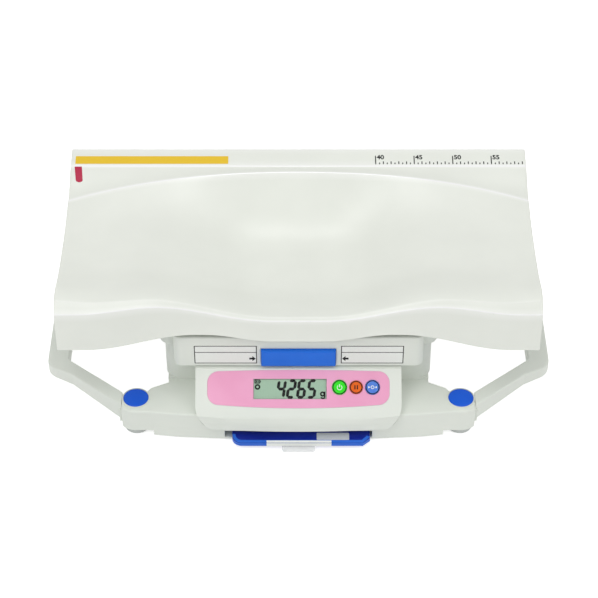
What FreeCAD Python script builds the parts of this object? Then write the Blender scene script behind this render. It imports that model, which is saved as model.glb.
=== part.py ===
"""Digital baby weighing scale: scooped tray, weighing platform, base with folding legs, display pod.

Frame: +X to the right, +Y to the back, +Z up, origin on the floor under the middle of the scale.
Sketches measure Y from the tray's front plane; every sub-part is then moved to the common origin.
All lengths are millimetres.
"""
import FreeCAD, Part
import math
import os
import re
import Sketcher

SIZES = (
    # common frame
    ("origin_setback", 110, "tray's front plane in front of the origin"),
    # tray
    ("tray_length", 590, "end to end"),
    ("tray_wall", 3, "moulded wall"),
    ("rim_setback", 281, "rear edge of the ruler flange"),
    ("rim_height", 216.8, "top of the rear edge"),
    ("rim_lip", 10, "turned-down rear lip"),
    ("flange_width", 28, "ruler flange, front to back"),
    ("flange_drop", 7.2, "fall of the ruler flange to the front"),
    ("crest_setback_mid", 240, "crest behind the front plane, middle"),
    ("crest_setback_end", 201, "crest behind the front plane, ends"),
    ("crest_height_mid", 210, "crest, middle"),
    ("crest_height_end", 193.5, "crest, ends"),
    ("gutter_width", 13, "gutter between crest and flange, ends"),
    ("gutter_narrow", 5.2, "gutter between crest and flange, middle"),
    ("gutter_dip", 0.8, "gutter lies below the crest"),
    ("flange_step", 1.2, "gutter lies below the flange's front edge"),
    ("flange_run", 2, "gutter's first slope, middle"),
    ("flange_spread", 10, "gutter's first slope grows by this at the ends"),
    ("flange_sag", 2, "gutter's first slope falls further by this at the ends"),
    ("heel_setback_mid", 184, "foot of the back wall, middle"),
    ("heel_setback_end", 158, "foot of the back wall, ends"),
    ("bed_height_mid", 148, "lowest line of the bed, middle"),
    ("bed_height_end", 186, "lowest line of the bed, ends"),
    ("rim_edge_mid", 169.4, "front rim's edge line, middle"),
    ("rim_edge_rise", 23, "front rim's edge line rises beside the middle"),
    ("rim_edge_fall", 12.4, "front rim's edge line falls again to the ends"),
    ("rim_rise_start", 30, "front rim starts to rise, from the middle"),
    ("rim_rise_end", 175, "front rim is fully risen"),
    ("rim_fall_start", 166, "front rim starts to fall"),
    ("rim_fall_end", 270, "front rim is fully fallen"),
    ("band_width_mid", 4.4, "slanted band behind the rim's edge line, middle"),
    ("band_width_end", 17.5, "slanted band behind the rim's edge line, ends"),
    ("band_tilt", 43, "slant of the band, degrees"),
    ("apron_edge_mid", 139, "apron's lower edge, middle"),
    ("apron_edge_hump", 150, "apron's lower edge, highest"),
    ("apron_edge_end", 124.4, "apron's lower edge, ends"),
    ("apron_flare", 3, "apron's lower edge stands forward"),
    ("hump_start", 30, "apron's lower edge starts to rise, from the middle"),
    ("hump_rise_end", 115, "apron's lower edge is fully risen"),
    ("hump_fall_start", 125, "apron's lower edge starts to fall"),
    ("hump_end", 260, "apron's lower edge is fully fallen"),
    ("scoop_inner", 45, "scoop starts to rise, from the middle"),
    ("scoop_outer", 185, "scoop is fully risen"),
    ("end_lip", 9, "turned-down lip at both ends"),
    # tray mount
    ("mount_half_width", 112, "frame under the tray, half width"),
    ("mount_front", 55, "frame's front face"),
    ("mount_back", 165, "frame's back face"),
    ("mount_wall", 4, "frame wall"),
    ("mount_tab", 20, "screw tab in each corner"),
    ("boss_radius", 6, "screw boss under the tray"),
    ("tray_screw_radius", 2, "screw shank"),
    ("tray_screw_grip", 9, "tray screw's reach above its tab"),
    ("tray_screw_head", 1, "tray screw's flat head"),
    ("head_radius", 4, "screw head"),
    ("head_rise", 2.2, "screw head"),
    ("post_radius", 7, "lock post"),
    ("post_setback", 64, "lock post axis"),
    ("post_clear", 1, "clearance round the lock post"),
    ("boss_reach", 60, "longest screw boss before it is trimmed to the tray"),
    ("tray_hole_depth", 11, "screw hole in a tray boss"),
    ("trim_overlap", 0.5, "screw bosses run into the tray's wall"),
    ("mount_gap", 0.2, "mount frame stays below the tray's wall"),
    ("rest_gap", 0.3, "clearance between a resting piece and its seat"),
    ("run_gap", 0.05, "radial clearance of a shaft"),
    # platform
    ("platform_half_width", 172, "platform cover, half width"),
    ("platform_front", 20, "platform cover, front of the skirt"),
    ("platform_back", 200, "platform cover, back of the skirt"),
    ("platform_corner", 14, "platform corner radius"),
    ("platform_top", 138, "platform cover, top face"),
    ("platform_rim", 113.5, "platform cover, lower rim"),
    ("cover_wall", 3, "moulded wall of covers"),
    ("cover_round", 2.5, "rounded upper edges"),
    ("bay_half_width", 154, "front bay, half width"),
    ("bay_front", 5, "front bay, front face"),
    ("bay_back", 26, "front bay, back face"),
    ("bay_bottom", 90, "front bay, lower face"),
    ("bay_corner", 10, "front bay corner radius"),
    ("stiffener_half_width", 150, "steel plate, half width"),
    ("stiffener_front", 36, "steel plate, front edge"),
    ("stiffener_back", 184, "steel plate, back edge"),
    ("stiffener_height", 121, "steel plate, lower face"),
    ("stiffener_sheet", 2.5, "steel plate thickness"),
    ("stiffener_screw_x", 120, "platform screws from the middle"),
    ("stiffener_screw_inset", 14, "platform screws from the plate's front and back edge"),
    ("stiffener_screw_reach", 7, "platform screw's reach above the plate"),
    ("boss_sink", 1, "bosses run into the cover's wall"),
    ("pad_inset", 2, "rubber pads inside the mount frame's front and back"),
    ("pad_side", 32, "rubber pads inside the mount frame's ends"),
    ("pad_radius", 9, "rubber pad"),
    ("pad_rise", 1.5, "rubber pad stands above the platform"),
    # lock lever
    ("lever_half_width", 46, "lever grip, half width"),
    ("lever_bottom", 93.3, "lever grip, lower face"),
    ("lever_top", 119, "lever grip, top face"),
    ("lever_front", 0, "lever grip, front face"),
    ("lever_grip_depth", 17, "lever grip, front to back"),
    ("lever_gap", 0.6, "clearance round the lever"),
    ("lever_round", 2, "rounded front edges of the lever"),
    ("fork_sheet", 3.5, "fork plate thickness"),
    ("fork_drop", 1.5, "fork plate below the steel plate"),
    ("fork_half_width", 20, "fork plate, half width"),
    ("fork_reach", 74, "fork plate, rear end"),
    # base
    ("base_bottom", 4, "underside of the lower case"),
    ("base_seam", 20, "seam between lower and upper case"),
    ("arm_top", 44, "top of the arms"),
    ("bow_half_width", 92, "straight front behind the cursor, half width"),
    ("bow_front", -37, "front of the base, middle"),
    ("arm_mid_x", 150, "arm's front edge, middle station"),
    ("arm_mid_front", -34, "arm's front edge at the middle station"),
    ("arm_end_radius", 24, "round arm end about the pivot"),
    ("arm_end_bottom", 11.3, "underside of the arm end"),
    ("arm_rear_rise", 2, "arm's rear edge rises beside the ear"),
    ("arm_overlap", 4, "arm reaches in front of and into the lower body"),
    ("arm_raise_x", 181, "arm underside is raised from here outwards"),
    ("waist_half_width", 164, "lower body at the tower's front, half width"),
    ("waist_back", 36, "end of the lower body's widest stretch"),
    ("tail_half_width", 127, "lower body's back, half width"),
    ("tail_back", 82, "lower body's back face"),
    ("tower_half_width", 166.5, "tower, half width"),
    ("tower_front", 28, "tower, front face"),
    ("tower_back", 190, "tower, back face"),
    ("tower_floor", 48, "underside of the tower's overhang"),
    ("tower_top", 110, "top of the tower"),
    ("tower_corner", 16, "tower corner radius"),
    ("tower_window_x", 45, "window for the load cell head, centre"),
    ("tower_window_half_width", 27, "window for the load cell head"),
    ("tower_window_half_depth", 24, "window for the load cell head"),
    ("cell_setback", 110, "middle of the load cell"),
    ("case_round", 2, "rounded upper edges of the arms and legs"),
    ("case_screw_roof", 8, "case screw holes end below the arm's top"),
    ("case_screw_x", 150, "case screws from the middle"),
    ("case_screw_front", -8, "front case screws"),
    ("case_screw_back", 37, "rear case screws"),
    ("well_depth", 5, "screw wells in the underside"),
    ("well_gap", 0.4, "clearance round a screw head"),
    # legs
    ("pivot_x", 203, "leg pivot from the middle"),
    ("pivot_y", -5.6, "leg pivot behind the front plane"),
    ("pin_radius", 6, "pivot pin"),
    ("pin_bottom", 13.5, "lower end of the pivot pin"),
    ("knuckle_radius", 14, "leg's round knuckle"),
    ("knuckle_bottom", 18, "underside of the leg at the knuckle"),
    ("knuckle_top", 36, "top of the knuckle"),
    ("knuckle_gap", 0.4, "clearance round the knuckle"),
    ("ear_radius", 17.5, "arm's upper ear under the cap"),
    ("leg_top", 43, "top of the leg at the seam"),
    ("leg_top_drop", 2.6, "fall of the leg's top to the corner"),
    ("leg_bottom_rise", 5.2, "rise of the leg's underside to the corner"),
    ("leg_corner_x", 294, "inner corner of the leg"),
    ("leg_corner_y", 69, "inner corner of the leg"),
    ("leg_bar_width", 27, "straight rear bar"),
    ("leg_root_front", -16.6, "front edge of the leg at the seam"),
    ("leg_root_back", 7.5, "back edge of the leg at the seam"),
    ("leg_jog_x", 287, "outer edge of the jog at its outer end"),
    ("leg_jog_y", 40, "outer edge of the jog at its outer end"),
    ("leg_jog_rise", 11, "outer corner starts behind the jog"),
    ("leg_round", 21.7, "outer corner radius of the leg"),
    ("leg_round_turn", 63.4, "turn of the outer corner, degrees"),
    ("leg_inner_round", 8, "round in the leg's two inner corners"),
    ("clevis_side", 6.5, "clevis gap beside the knuckle, inner side"),
    ("clevis_reach", 40, "clevis gap behind the pivot"),
    ("rear_foot_y", 180, "rear foot axis"),
    ("rear_foot_radius", 12, "rear foot"),
    ("rear_foot_height", 10, "rear foot"),
    ("front_foot_radius", 16, "front foot"),
    ("front_foot_y", -10.7, "front foot axis"),
    ("front_foot_edge", 3, "slant round the front foot's sole"),
    ("rear_foot_edge", 1.5, "slant round the rear foot's sole"),
    ("washer_sheet", 0.3, "pivot washer thickness"),
    ("cap_radius", 15.7, "blue pivot cap"),
    ("cap_top", 46, "top of the pivot cap"),
    ("cap_gap", 0.4, "clearance between the cap and the ring round it"),
    ("cap_ring_rise", 1.1, "ring round the cap stands above the arm"),
    ("pin_edge", 0.6, "bevel of the pivot pin"),
    # display pod
    ("pod_half_width", 127.4, "display pod, half width"),
    ("pod_side", 22.4, "solid side of the pod beside its hollow"),
    ("pod_bottom", 26.5, "display pod, underside"),
    ("pod_seam", 36.3, "seam between the pod's shells"),
    ("pod_nose", -47, "foremost line of the pod"),
    ("pod_bow", 5.5, "pod's front stands forward in the middle"),
    ("pod_brow_front", -37.5, "point on the tilted face near its lower end"),
    ("pod_brow_height", 53.1, "point on the tilted face near its lower end"),
    ("pod_brow_round", 16, "rounding between the face and the pod's front"),
    ("pod_gap", 0.3, "clearance between pod and base"),
    ("pod_top", 88.4, "top of the pod"),
    ("pod_back", 27.7, "back of the pod"),
    ("pod_corner", 32, "pod's lower corners, square to the face"),
    ("face_tilt", 42, "tilt of the display face, degrees"),
    ("face_middle", 26.7, "middle of the face, up its slope"),
    ("panel_margin", 14.9, "pod's edge beside the front panel"),
    ("panel_top", 22.8, "front panel, upper corners"),
    ("panel_low", -18.8, "front panel, lower corners"),
    ("panel_top_bow", 1.6, "front panel's upper edge rises in the middle"),
    ("panel_low_bow", 4, "front panel's lower edge falls in the middle"),
    ("panel_corner", 14, "front panel corner radius"),
    ("panel_sheet", 0.8, "front panel thickness"),
    ("panel_gap", 0.2, "clearance round the front panel"),
    ("lcd_x", -10.4, "display window, middle"),
    ("lcd_y", 0.9, "display window, middle, up the slope"),
    ("lcd_half_width", 45.7, "display window"),
    ("lcd_half_rise", 13, "display window"),
    ("key_rise", 3, "keys' middle, up the slope"),
    ("key_travel", 0.8, "key travel"),
    ("key_proud", 1, "keys stand above the panel"),
    ("key_gap", 0.35, "clearance round a key"),
    ("key_flange_gap", 0.3, "key flange below the wall"),
    ("key_flange_width", 0.9, "key flange round the key"),
    ("key_flange_sheet", 1.2, "key flange thickness"),
    ("key_stem_radius", 2.5, "key stem"),
    ("key_stem_gap", 0.1, "key stem over its switch"),
    ("switch_half_width", 3, "switch body, half width"),
    ("switch_rise", 2.5, "switch body"),
    ("switch_tip_rise", 4, "switch plunger's top above the board"),
    ("switch_tip_radius", 1.7, "switch plunger"),
    ("lcd_lip", 0.5, "panel's opening inside the display window"),
    ("window_gap", 0.1, "clearance round the display window"),
    ("window_sheet", 1.6, "display window thickness"),
    ("glass_inset", 1, "display glass inside its window"),
    ("glass_gap", 0.1, "display glass below the window"),
    ("module_side", 4, "display module beside the window"),
    ("module_end", 3, "display module above and below the window"),
    ("module_drop", 0.4, "display module below the wall"),
    ("power_key_x", 50.8, "green key"),
    ("power_key_radius", 9.2, "green key"),
    ("hold_key_x", 71.3, "orange key"),
    ("hold_key_radius", 8.3, "orange key"),
    ("zero_key_x", 91.5, "blue key"),
    ("zero_key_radius", 9.1, "blue key"),
    ("board_depth", 11.4, "top of the main board below the face"),
    ("board_sheet", 1.6, "main board thickness"),
    ("board_gap", 1, "main board's clearance to the pod's corners"),
    ("board_half_rise", 19, "main board"),
    ("board_post_inset", 5, "posts over the main board"),
    ("board_post_radius", 3, "posts over the main board"),
    ("board_hole_radius", 1.3, "holes in the main board"),
    ("post_sink", 0.2, "posts run into the pod's wall"),
    # load cell
    ("cell_half_length", 65, "load cell"),
    ("cell_half_width", 12.5, "load cell"),
    ("cell_rise", 22, "load cell height"),
    ("cell_foot_rise", 11, "foot block height"),
    ("cell_block_half", 20, "foot and head blocks, half length"),
    ("cell_bore_radius", 7, "load cell's twin bores"),
    ("cell_bolt_radius", 3, "load cell bolts"),
    ("cell_bolt_pitch", 18, "load cell bolts of one end"),
    ("cell_bolt_head", 5.4, "load cell bolt head radius"),
    ("cell_bolt_head_rise", 4, "load cell bolt head"),
    ("cell_bolt_reach", 13, "head bolts' reach above the load cell"),
    ("cell_hole_depth", 14, "bolt holes in the head block"),
    ("cell_bore_spread", 11.2, "load cell's twin bores from its middle"),
    ("cell_slit", 2, "half height of the slit between the bores"),
    ("cell_foot_margin", 8, "foot block beside the load cell"),
    ("cell_foot_end", 4, "foot block beyond the load cell's end"),
    ("cell_foot_corner", 4, "foot block corner radius"),
    # battery bay
    ("battery_left", 40, "battery bay, inner side"),
    ("battery_front", 49, "battery bay, front"),
    ("battery_radius", 7.2, "dry cell"),
    ("battery_length", 50.3, "dry cell"),
    ("battery_tip_radius", 2.7, "dry cell's tip"),
    ("battery_tip_rise", 1.5, "dry cell's tip"),
    ("battery_gap", 0.3, "clearance round each dry cell"),
    ("contact_sheet", 1.2, "battery contact plate"),
    ("door_top", 6.8, "top of the battery cover's channel"),
    ("door_tongue", 3.5, "battery cover's side tongue"),
    ("door_gap", 0.3, "clearance round the battery cover"),
    ("tongue_groove", 1.4, "groove for the side tongues"),
    ("tongue_rise", 1.2, "side tongues below the channel's top"),
    ("tongue_sheet", 0.9, "side tongue thickness"),
    ("door_entry", 0.5, "channel starts in front of the battery cover"),
    ("grip_depth", 0.8, "thumb grooves in the battery cover"),
    ("grip_half_width", 9, "thumb grooves, half width"),
    ("grip_groove", 1.2, "thumb grooves, front to back"),
    ("grip_pitch", 3, "thumb grooves, spacing"),
    ("grip_start", 56, "first thumb groove"),
    ("contact_gap", 0.2, "clearance of the contact plates"),
    # height cursor
    ("cursor_left", -82.5, "height cursor, left side"),
    ("cursor_right", 89, "height cursor, right side"),
    ("cursor_front", -53, "height cursor, front edge"),
    ("cursor_back", 43, "height cursor, back edge"),
    ("cursor_bottom", 7.3, "height cursor, underside"),
    ("cursor_edge_top", 13, "height cursor, top of the front edge"),
    ("cursor_top", 16.3, "height cursor, top"),
    ("slot_half_width", 92, "cursor slot"),
    ("slot_back", 45, "cursor slot"),
    ("slot_bottom", 7, "cursor slot floor"),
    ("slot_top", 17.8, "cursor slot ceiling"),
    ("cursor_round", 12, "height cursor, left front corner radius"),
    ("cursor_cut_x", 9, "height cursor, cut right front corner"),
    ("cursor_cut_y", 8, "height cursor, cut right front corner"),
    ("cursor_slope", 15, "height cursor, slanted front, front to back"),
    ("cursor_sheet", 2.5, "height cursor, top wall"),
    ("cursor_side", 8, "height cursor, side walls"),
    ("cursor_fore", 24, "height cursor, solid front"),
    ("cursor_rear", 6, "height cursor, rear wall"),
    ("tab_half_width", 20.6, "clear tab"),
    ("tab_front", -61, "clear tab, front edge"),
    ("tab_sheet", 2.4, "clear tab thickness"),
    ("tab_corner", 3, "clear tab corner radius"),
    ("tab_root", 4, "clear tab's rear end in front of the base"),
)

doc = FreeCAD.newDocument("BabyScale")
sheet = doc.addObject("Spreadsheet::Sheet", "Sizes")
for row, (name, value, meaning) in enumerate(SIZES, start=1):
    sheet.set(f"A{row}", meaning)
    sheet.set(f"B{row}", str(value))
    sheet.setAlias(f"B{row}", name)
doc.recompute()
ALIASES = {name for name, value, meaning in SIZES}
UP = FreeCAD.Vector(0, 0, 1)
ACROSS = FreeCAD.Vector(1, 0, 0)
nodes = []


# ---------------------------------------------------------------- sheet and placement helpers

def link(words):
    """The expression with every size's name pointing into the sheet."""
    return re.sub(r"[a-z_]+", lambda m: "Sizes." + m.group() if m.group() in ALIASES else m.group(), words)


def size(words):
    """Present value of an expression of sizes."""
    return float(sheet.evalExpression(words))


def bind(target, path, words):
    target.setExpression(path, link(words))


def settle(item, label):
    """Names a finished sub-part, moves it to the common origin and lists it."""
    item.Label = label
    bind(item, "Placement.Base.y", "-origin_setback")
    nodes.append(item)
    return item


def settle_tilted(item, label):
    """The same for a sub-part that is drawn in the display face's own frame."""
    item.Label = label
    item.Placement = FreeCAD.Placement(FreeCAD.Vector(), FreeCAD.Rotation(ACROSS, size("face_tilt")))
    bind(item, "Placement.Base.y", "pod_brow_front + face_middle * cos(face_tilt * 1deg) - origin_setback")
    bind(item, "Placement.Base.z", "pod_brow_height + face_middle * sin(face_tilt * 1deg)")
    bind(item, "Placement.Rotation.Angle", "face_tilt")
    nodes.append(item)
    return item


# ---------------------------------------------------------------- sketch and feature helpers

def new_body(name):
    return doc.addObject("PartDesign::Body", name)


def sketch(body, role="XY_Plane", at=("0", "0", "0"), tilt=None):
    """Empty sketch on one of the body's origin planes, shifted and, for the display face, tilted."""
    drawn = body.newObject("Sketcher::SketchObject", body.Name + "_sketch")
    support = next(item for item in body.Origin.OriginFeatures if item.Role == role)
    drawn.AttachmentSupport = [(support, "")]
    drawn.MapMode = "FlatFace"
    turn = FreeCAD.Rotation(ACROSS, size(tilt)) if tilt else FreeCAD.Rotation()
    drawn.AttachmentOffset = FreeCAD.Placement(FreeCAD.Vector(*[size(words) for words in at]), turn)
    for axis, words in zip("xyz", at):
        bind(drawn, "AttachmentOffset.Base." + axis, words)
    if tilt:
        bind(drawn, "AttachmentOffset.Rotation.Angle", tilt)
    return drawn


def face_sketch(body, depth="0"):
    """Sketch parallel to the tilted display face, a given depth below it."""
    middle_y = "(pod_brow_front + face_middle * cos(face_tilt * 1deg) + ({0}) * sin(face_tilt * 1deg))"
    middle_z = "(pod_brow_height + face_middle * sin(face_tilt * 1deg) - ({0}) * cos(face_tilt * 1deg))"
    return sketch(body, "XY_Plane", ("0", middle_y.format(depth), middle_z.format(depth)), "face_tilt")


def fix_point(drawn, element, end, words_x, words_y):
    for kind, words in (("DistanceX", words_x), ("DistanceY", words_y)):
        index = drawn.addConstraint(Sketcher.Constraint(kind, -1, 1, element, end, size(words)))
        bind(drawn, f"Constraints[{index}]", words)


def outline(drawn, corners):
    """Closed outline. A corner is (x, y), or (x, y, radius) where an arc that bulges outward starts."""
    places = [FreeCAD.Vector(size(corner[0]), size(corner[1]), 0) for corner in corners]
    first = drawn.GeometryCount
    count = len(corners)
    for index, corner in enumerate(corners):
        start, end = places[index], places[(index + 1) % count]
        if len(corner) == 2:
            drawn.addGeometry(Part.LineSegment(start, end))
            continue
        chord = end - start
        radius = size(corner[2])
        side = FreeCAD.Vector(chord.y, -chord.x, 0).normalize()
        sagitta = radius - math.sqrt(max(radius ** 2 - chord.Length ** 2 / 4, 0))
        drawn.addGeometry(Part.Arc(start, start + chord / 2 + side * sagitta, end))
    for index in range(count):
        follower = (index + 1) % count
        ends = [2, 1]
        for slot, element in enumerate((index, follower)):
            if len(corners[element]) > 2:
                arc = drawn.Geometry[first + element]
                near = (arc.StartPoint - places[follower]).Length < (arc.EndPoint - places[follower]).Length
                ends[slot] = 1 if near else 2
        drawn.addConstraint(
            Sketcher.Constraint("Coincident", first + index, ends[0], first + follower, ends[1]))
    for index, corner in enumerate(corners):
        end = 1
        if len(corner) > 2:
            arc = drawn.Geometry[first + index]
            end = 1 if (arc.StartPoint - places[index]).Length < (arc.EndPoint - places[index]).Length else 2
            number = drawn.addConstraint(Sketcher.Constraint("Radius", first + index, size(corner[2])))
            bind(drawn, f"Constraints[{number}]", corner[2])
        fix_point(drawn, first + index, end, corner[0], corner[1])


def mirrored(corners):
    """The outline on the other side of the middle plane, in the same turning direction."""
    flipped = []
    for index in range(len(corners) - 1, -1, -1):
        flipped.append((f"-({corners[index][0]})", corners[index][1]) + corners[index - 1][2:])
    return flipped


def rectangle(drawn, left, right, front, back):
    outline(drawn, [(left, front), (right, front), (right, back), (left, back)])


def rounded_rectangle(drawn, left, right, front, back, radius):
    radius = f"({radius})"
    outline(drawn, [
        (f"{left} + {radius}", front), (f"{right} - {radius}", front, radius),
        (right, f"{front} + {radius}"), (right, f"{back} - {radius}", radius),
        (f"{right} - {radius}", back), (f"{left} + {radius}", back, radius),
        (left, f"{back} - {radius}"), (left, f"{front} + {radius}", radius),
    ])


def circle(drawn, x, y, radius):
    ring = drawn.addGeometry(Part.Circle(FreeCAD.Vector(size(x), size(y), 0), UP, size(radius)))
    number = drawn.addConstraint(Sketcher.Constraint("Radius", ring, size(radius)))
    bind(drawn, f"Constraints[{number}]", radius)
    fix_point(drawn, ring, 3, x, y)


def pad(body, drawn, length, middle=False):
    made = body.newObject("PartDesign::Pad", body.Name + "_pad")
    made.Profile = drawn
    made.Midplane = middle
    bind(made, "Length", length)
    drawn.Visibility = False
    doc.recompute()
    return made


def pocket(body, drawn, length, upward=True, middle=False):
    """Cuts along the sketch's normal, against it, or half each way; fails when it takes nothing away."""
    before = body.Shape.Volume
    made = body.newObject("PartDesign::Pocket", body.Name + "_pocket")
    made.Profile = drawn
    made.Reversed = upward
    made.Midplane = middle
    bind(made, "Length", length)
    drawn.Visibility = False
    doc.recompute()
    if body.Shape.Volume > before - 1e-3:
        raise ValueError(f"{made.Name} cuts nothing")
    return made


def dress(body, kind, amount, chosen):
    """Fillet or Chamfer on the edges of the body's tip that the test picks."""
    tip = body.Tip
    names = [f"Edge{index}" for index, edge in enumerate(tip.Shape.Edges, start=1) if chosen(edge)]
    if not names:
        raise ValueError(f"no edge to dress on {body.Name}")
    made = body.newObject("PartDesign::" + kind, body.Name + "_" + kind.lower())
    made.Base = (tip, names)
    bind(made, "Radius" if kind == "Fillet" else "Size", amount)
    doc.recompute()
    if "Invalid" in made.State:
        raise ValueError(f"{made.Name} fails")
    return made


def lies_at(edge, axis, words):
    """True for an edge that lies wholly in the plane where its x, y or z has the given value."""
    box = edge.BoundBox
    low, high = {"x": (box.XMin, box.XMax), "y": (box.YMin, box.YMax), "z": (box.ZMin, box.ZMax)}[axis]
    return abs(low - size(words)) < 0.01 and abs(high - size(words)) < 0.01


def turned(label, profile, x, y):
    """Solid of revolution about a vertical axis from an outline of (radius, height) corners."""
    body = new_body(label)
    drawn = sketch(body, "XZ_Plane")
    outline(drawn, profile)
    made = body.newObject("PartDesign::Revolution", label + "_turn")
    made.Profile = drawn
    made.ReferenceAxis = (drawn, ["V_Axis"])
    made.Angle = 360
    drawn.Visibility = False
    bind(body, "Placement.Base.x", x)
    bind(body, "Placement.Base.y", f"{y} - origin_setback")
    body.Label = label
    nodes.append(body)
    doc.recompute()
    return body


def block(left, right, front, back, bottom, top):
    """Part::Box between two corners."""
    made = doc.addObject("Part::Box", "block")
    for path, words in (
        ("Length", f"({right}) - ({left})"), ("Width", f"({back}) - ({front})"),
        ("Height", f"({top}) - ({bottom})"), ("Placement.Base.x", left), ("Placement.Base.y", front),
        ("Placement.Base.z", bottom),
    ):
        bind(made, path, words)
    return made


def rod(x, y, bottom, top, radius):
    """Part::Cylinder standing up."""
    made = doc.addObject("Part::Cylinder", "rod")
    bind(made, "Radius", radius)
    bind(made, "Height", f"({top}) - ({bottom})")
    for axis, words in zip("xyz", (x, y, bottom)):
        bind(made, "Placement.Base." + axis, words)
    return made


def lying_rod(y, z, left, right, radius):
    """Part::Cylinder lying along X."""
    made = rod("0", "0", left, right, radius)
    made.Placement = FreeCAD.Placement(FreeCAD.Vector(), FreeCAD.Rotation(FreeCAD.Vector(0, 1, 0), 90))
    for axis, words in zip("xyz", (left, y, z)):
        bind(made, "Placement.Base." + axis, words)
    return made


def fused(pieces):
    made = doc.addObject("Part::MultiFuse", "fused")
    made.Shapes = pieces
    return made


def group(label, pieces, tilted=False):
    """One node of separate solids, such as a set of screws."""
    made = doc.addObject("Part::Compound", label)
    made.Links = pieces
    return settle_tilted(made, label) if tilted else settle(made, label)


def screw(x, y, head_bottom, head_radius, head_rise, tip, shank_radius):
    """Pan-head screw driven upward: head below, shank up to its tip."""
    head = rod(x, y, head_bottom, f"{head_bottom} + {head_rise}", head_radius)
    shank = rod(x, y, f"{head_bottom} + {head_rise}", tip, shank_radius)
    return fused([head, shank])


# ---------------------------------------------------------------- tray

def ease(distance, start, end):
    """0 before start, 1 after end and a cosine rise between."""
    share = min(max((distance - start) / (end - start), 0), 1)
    return (1 - math.cos(math.pi * share)) / 2


def mix(low, high, share):
    return low + (high - low) * share


# Shapes of the tray's section, as shares of the way to the front and of the rise or fall.
BACK_WALL_MIDDLE = (0.5, 0.52)
BED_STEPS = ((0.3, 0), (0.62, 0.08), (0.8, 0.72))
RIDGE = (0.75, 0.22)
APRON_MIDDLE = (0.3, 0.66)


def tray_section(x):
    """The tray's outer line at x as runs of control points, each with its degree: rear lip, flange,
    gutter up to the crest, bed up to the rim, slanted band and apron."""
    out = abs(x)
    reach = (out / (size("tray_length") / 2)) ** 2
    risen = ease(out, size("scoop_inner"), size("scoop_outer"))
    crest = (mix(size("crest_setback_mid"), size("crest_setback_end"), reach),
             mix(size("crest_height_mid"), size("crest_height_end"), reach ** 1.5))
    heel = (mix(size("heel_setback_mid"), size("heel_setback_end"), reach),
            mix(size("bed_height_mid"), size("bed_height_end"), risen))
    rise = ease(out, size("rim_rise_start"), size("rim_rise_end"))
    fall = ease(out, size("rim_fall_start"), size("rim_fall_end"))
    edge_z = size("rim_edge_mid") + size("rim_edge_rise") * rise - size("rim_edge_fall") * fall
    band = mix(size("band_width_mid"), size("band_width_end"), reach)
    tilt = math.radians(size("band_tilt"))
    edge = (0, edge_z)
    crease = (band * math.cos(tilt), edge_z + band * math.sin(tilt))
    ridge = (crease[0] + RIDGE[0] * band, crease[1] + RIDGE[1] * band)
    if out < size("hump_fall_start"):
        low_edge, hump = size("apron_edge_mid"), ease(out, size("hump_start"), size("hump_rise_end"))
    else:
        low_edge, hump = size("apron_edge_end"), 1 - ease(out, size("hump_fall_start"), size("hump_end"))
    apron_z = mix(low_edge, size("apron_edge_hump"), hump)
    flare = size("apron_flare")
    rim = (size("rim_setback"), size("rim_height"))
    flange = (rim[0] - size("flange_width"), rim[1] - size("flange_drop"))
    dip = (flange[0] - size("flange_run") - size("flange_spread") * reach,
           flange[1] - size("flange_step") - size("flange_sag") * reach)
    gutter_width = mix(size("gutter_narrow"), size("gutter_width"), reach)
    gutter = (crest[0] + gutter_width, crest[1] - size("gutter_dip"))
    back_wall = (mix(crest[0], heel[0], BACK_WALL_MIDDLE[0]), mix(crest[1], heel[1], BACK_WALL_MIDDLE[1]))
    bed = [(mix(heel[0], crease[0], way), mix(heel[1], ridge[1], rise)) for way, rise in BED_STEPS]
    return [
        (1, [(rim[0], rim[1] - size("rim_lip")), rim]),
        (1, [rim, flange]),
        (2, [flange, dip, gutter, crest]),
        (3, [crest, back_wall, heel] + bed + [ridge, crease]),
        (1, [crease, edge]),
        (2, [edge, (-APRON_MIDDLE[0] * flare, mix(edge_z, apron_z, APRON_MIDDLE[1])), (-flare, apron_z)]),
    ]


def offset_line(points, distance):
    """Points moved square to the line by a distance, mitred at each corner."""
    moved = []
    for index, (y, z) in enumerate(points):
        before = points[max(index - 1, 0)]
        after = points[min(index + 1, len(points) - 1)]
        normals = []
        for start, end in ((before, (y, z)), ((y, z), after)):
            length = math.hypot(end[0] - start[0], end[1] - start[1])
            if length > 1e-9:
                normals.append(((end[1] - start[1]) / length, -(end[0] - start[0]) / length))
        mean_y = sum(item[0] for item in normals) / len(normals)
        mean_z = sum(item[1] for item in normals) / len(normals)
        stretch = distance / (mean_y ** 2 + mean_z ** 2)
        moved.append((y - mean_y * stretch, z - mean_z * stretch))
    return moved


def moved_section(x, distance):
    """The section's runs at x with the whole line moved inward by a distance."""
    runs = tray_section(x)
    line = runs[0][1][:1] + [point for degree, points in runs for point in points[1:]]
    if distance:
        line = offset_line(line, distance)
    moved = []
    start = 0
    for degree, points in runs:
        end = start + len(points)
        moved.append((degree, line[start:end]))
        start = end - 1
    return moved


def line_edge(x, start, end):
    return Part.makeLine(FreeCAD.Vector(x, *start), FreeCAD.Vector(x, *end))


def run_edge(x, degree, points):
    if degree == 1:
        return line_edge(x, points[0], points[-1])
    spline = Part.BSplineCurve()
    spline.buildFromPoles([FreeCAD.Vector(x, y, z) for y, z in points], False, degree)
    return spline.toShape()


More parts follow.
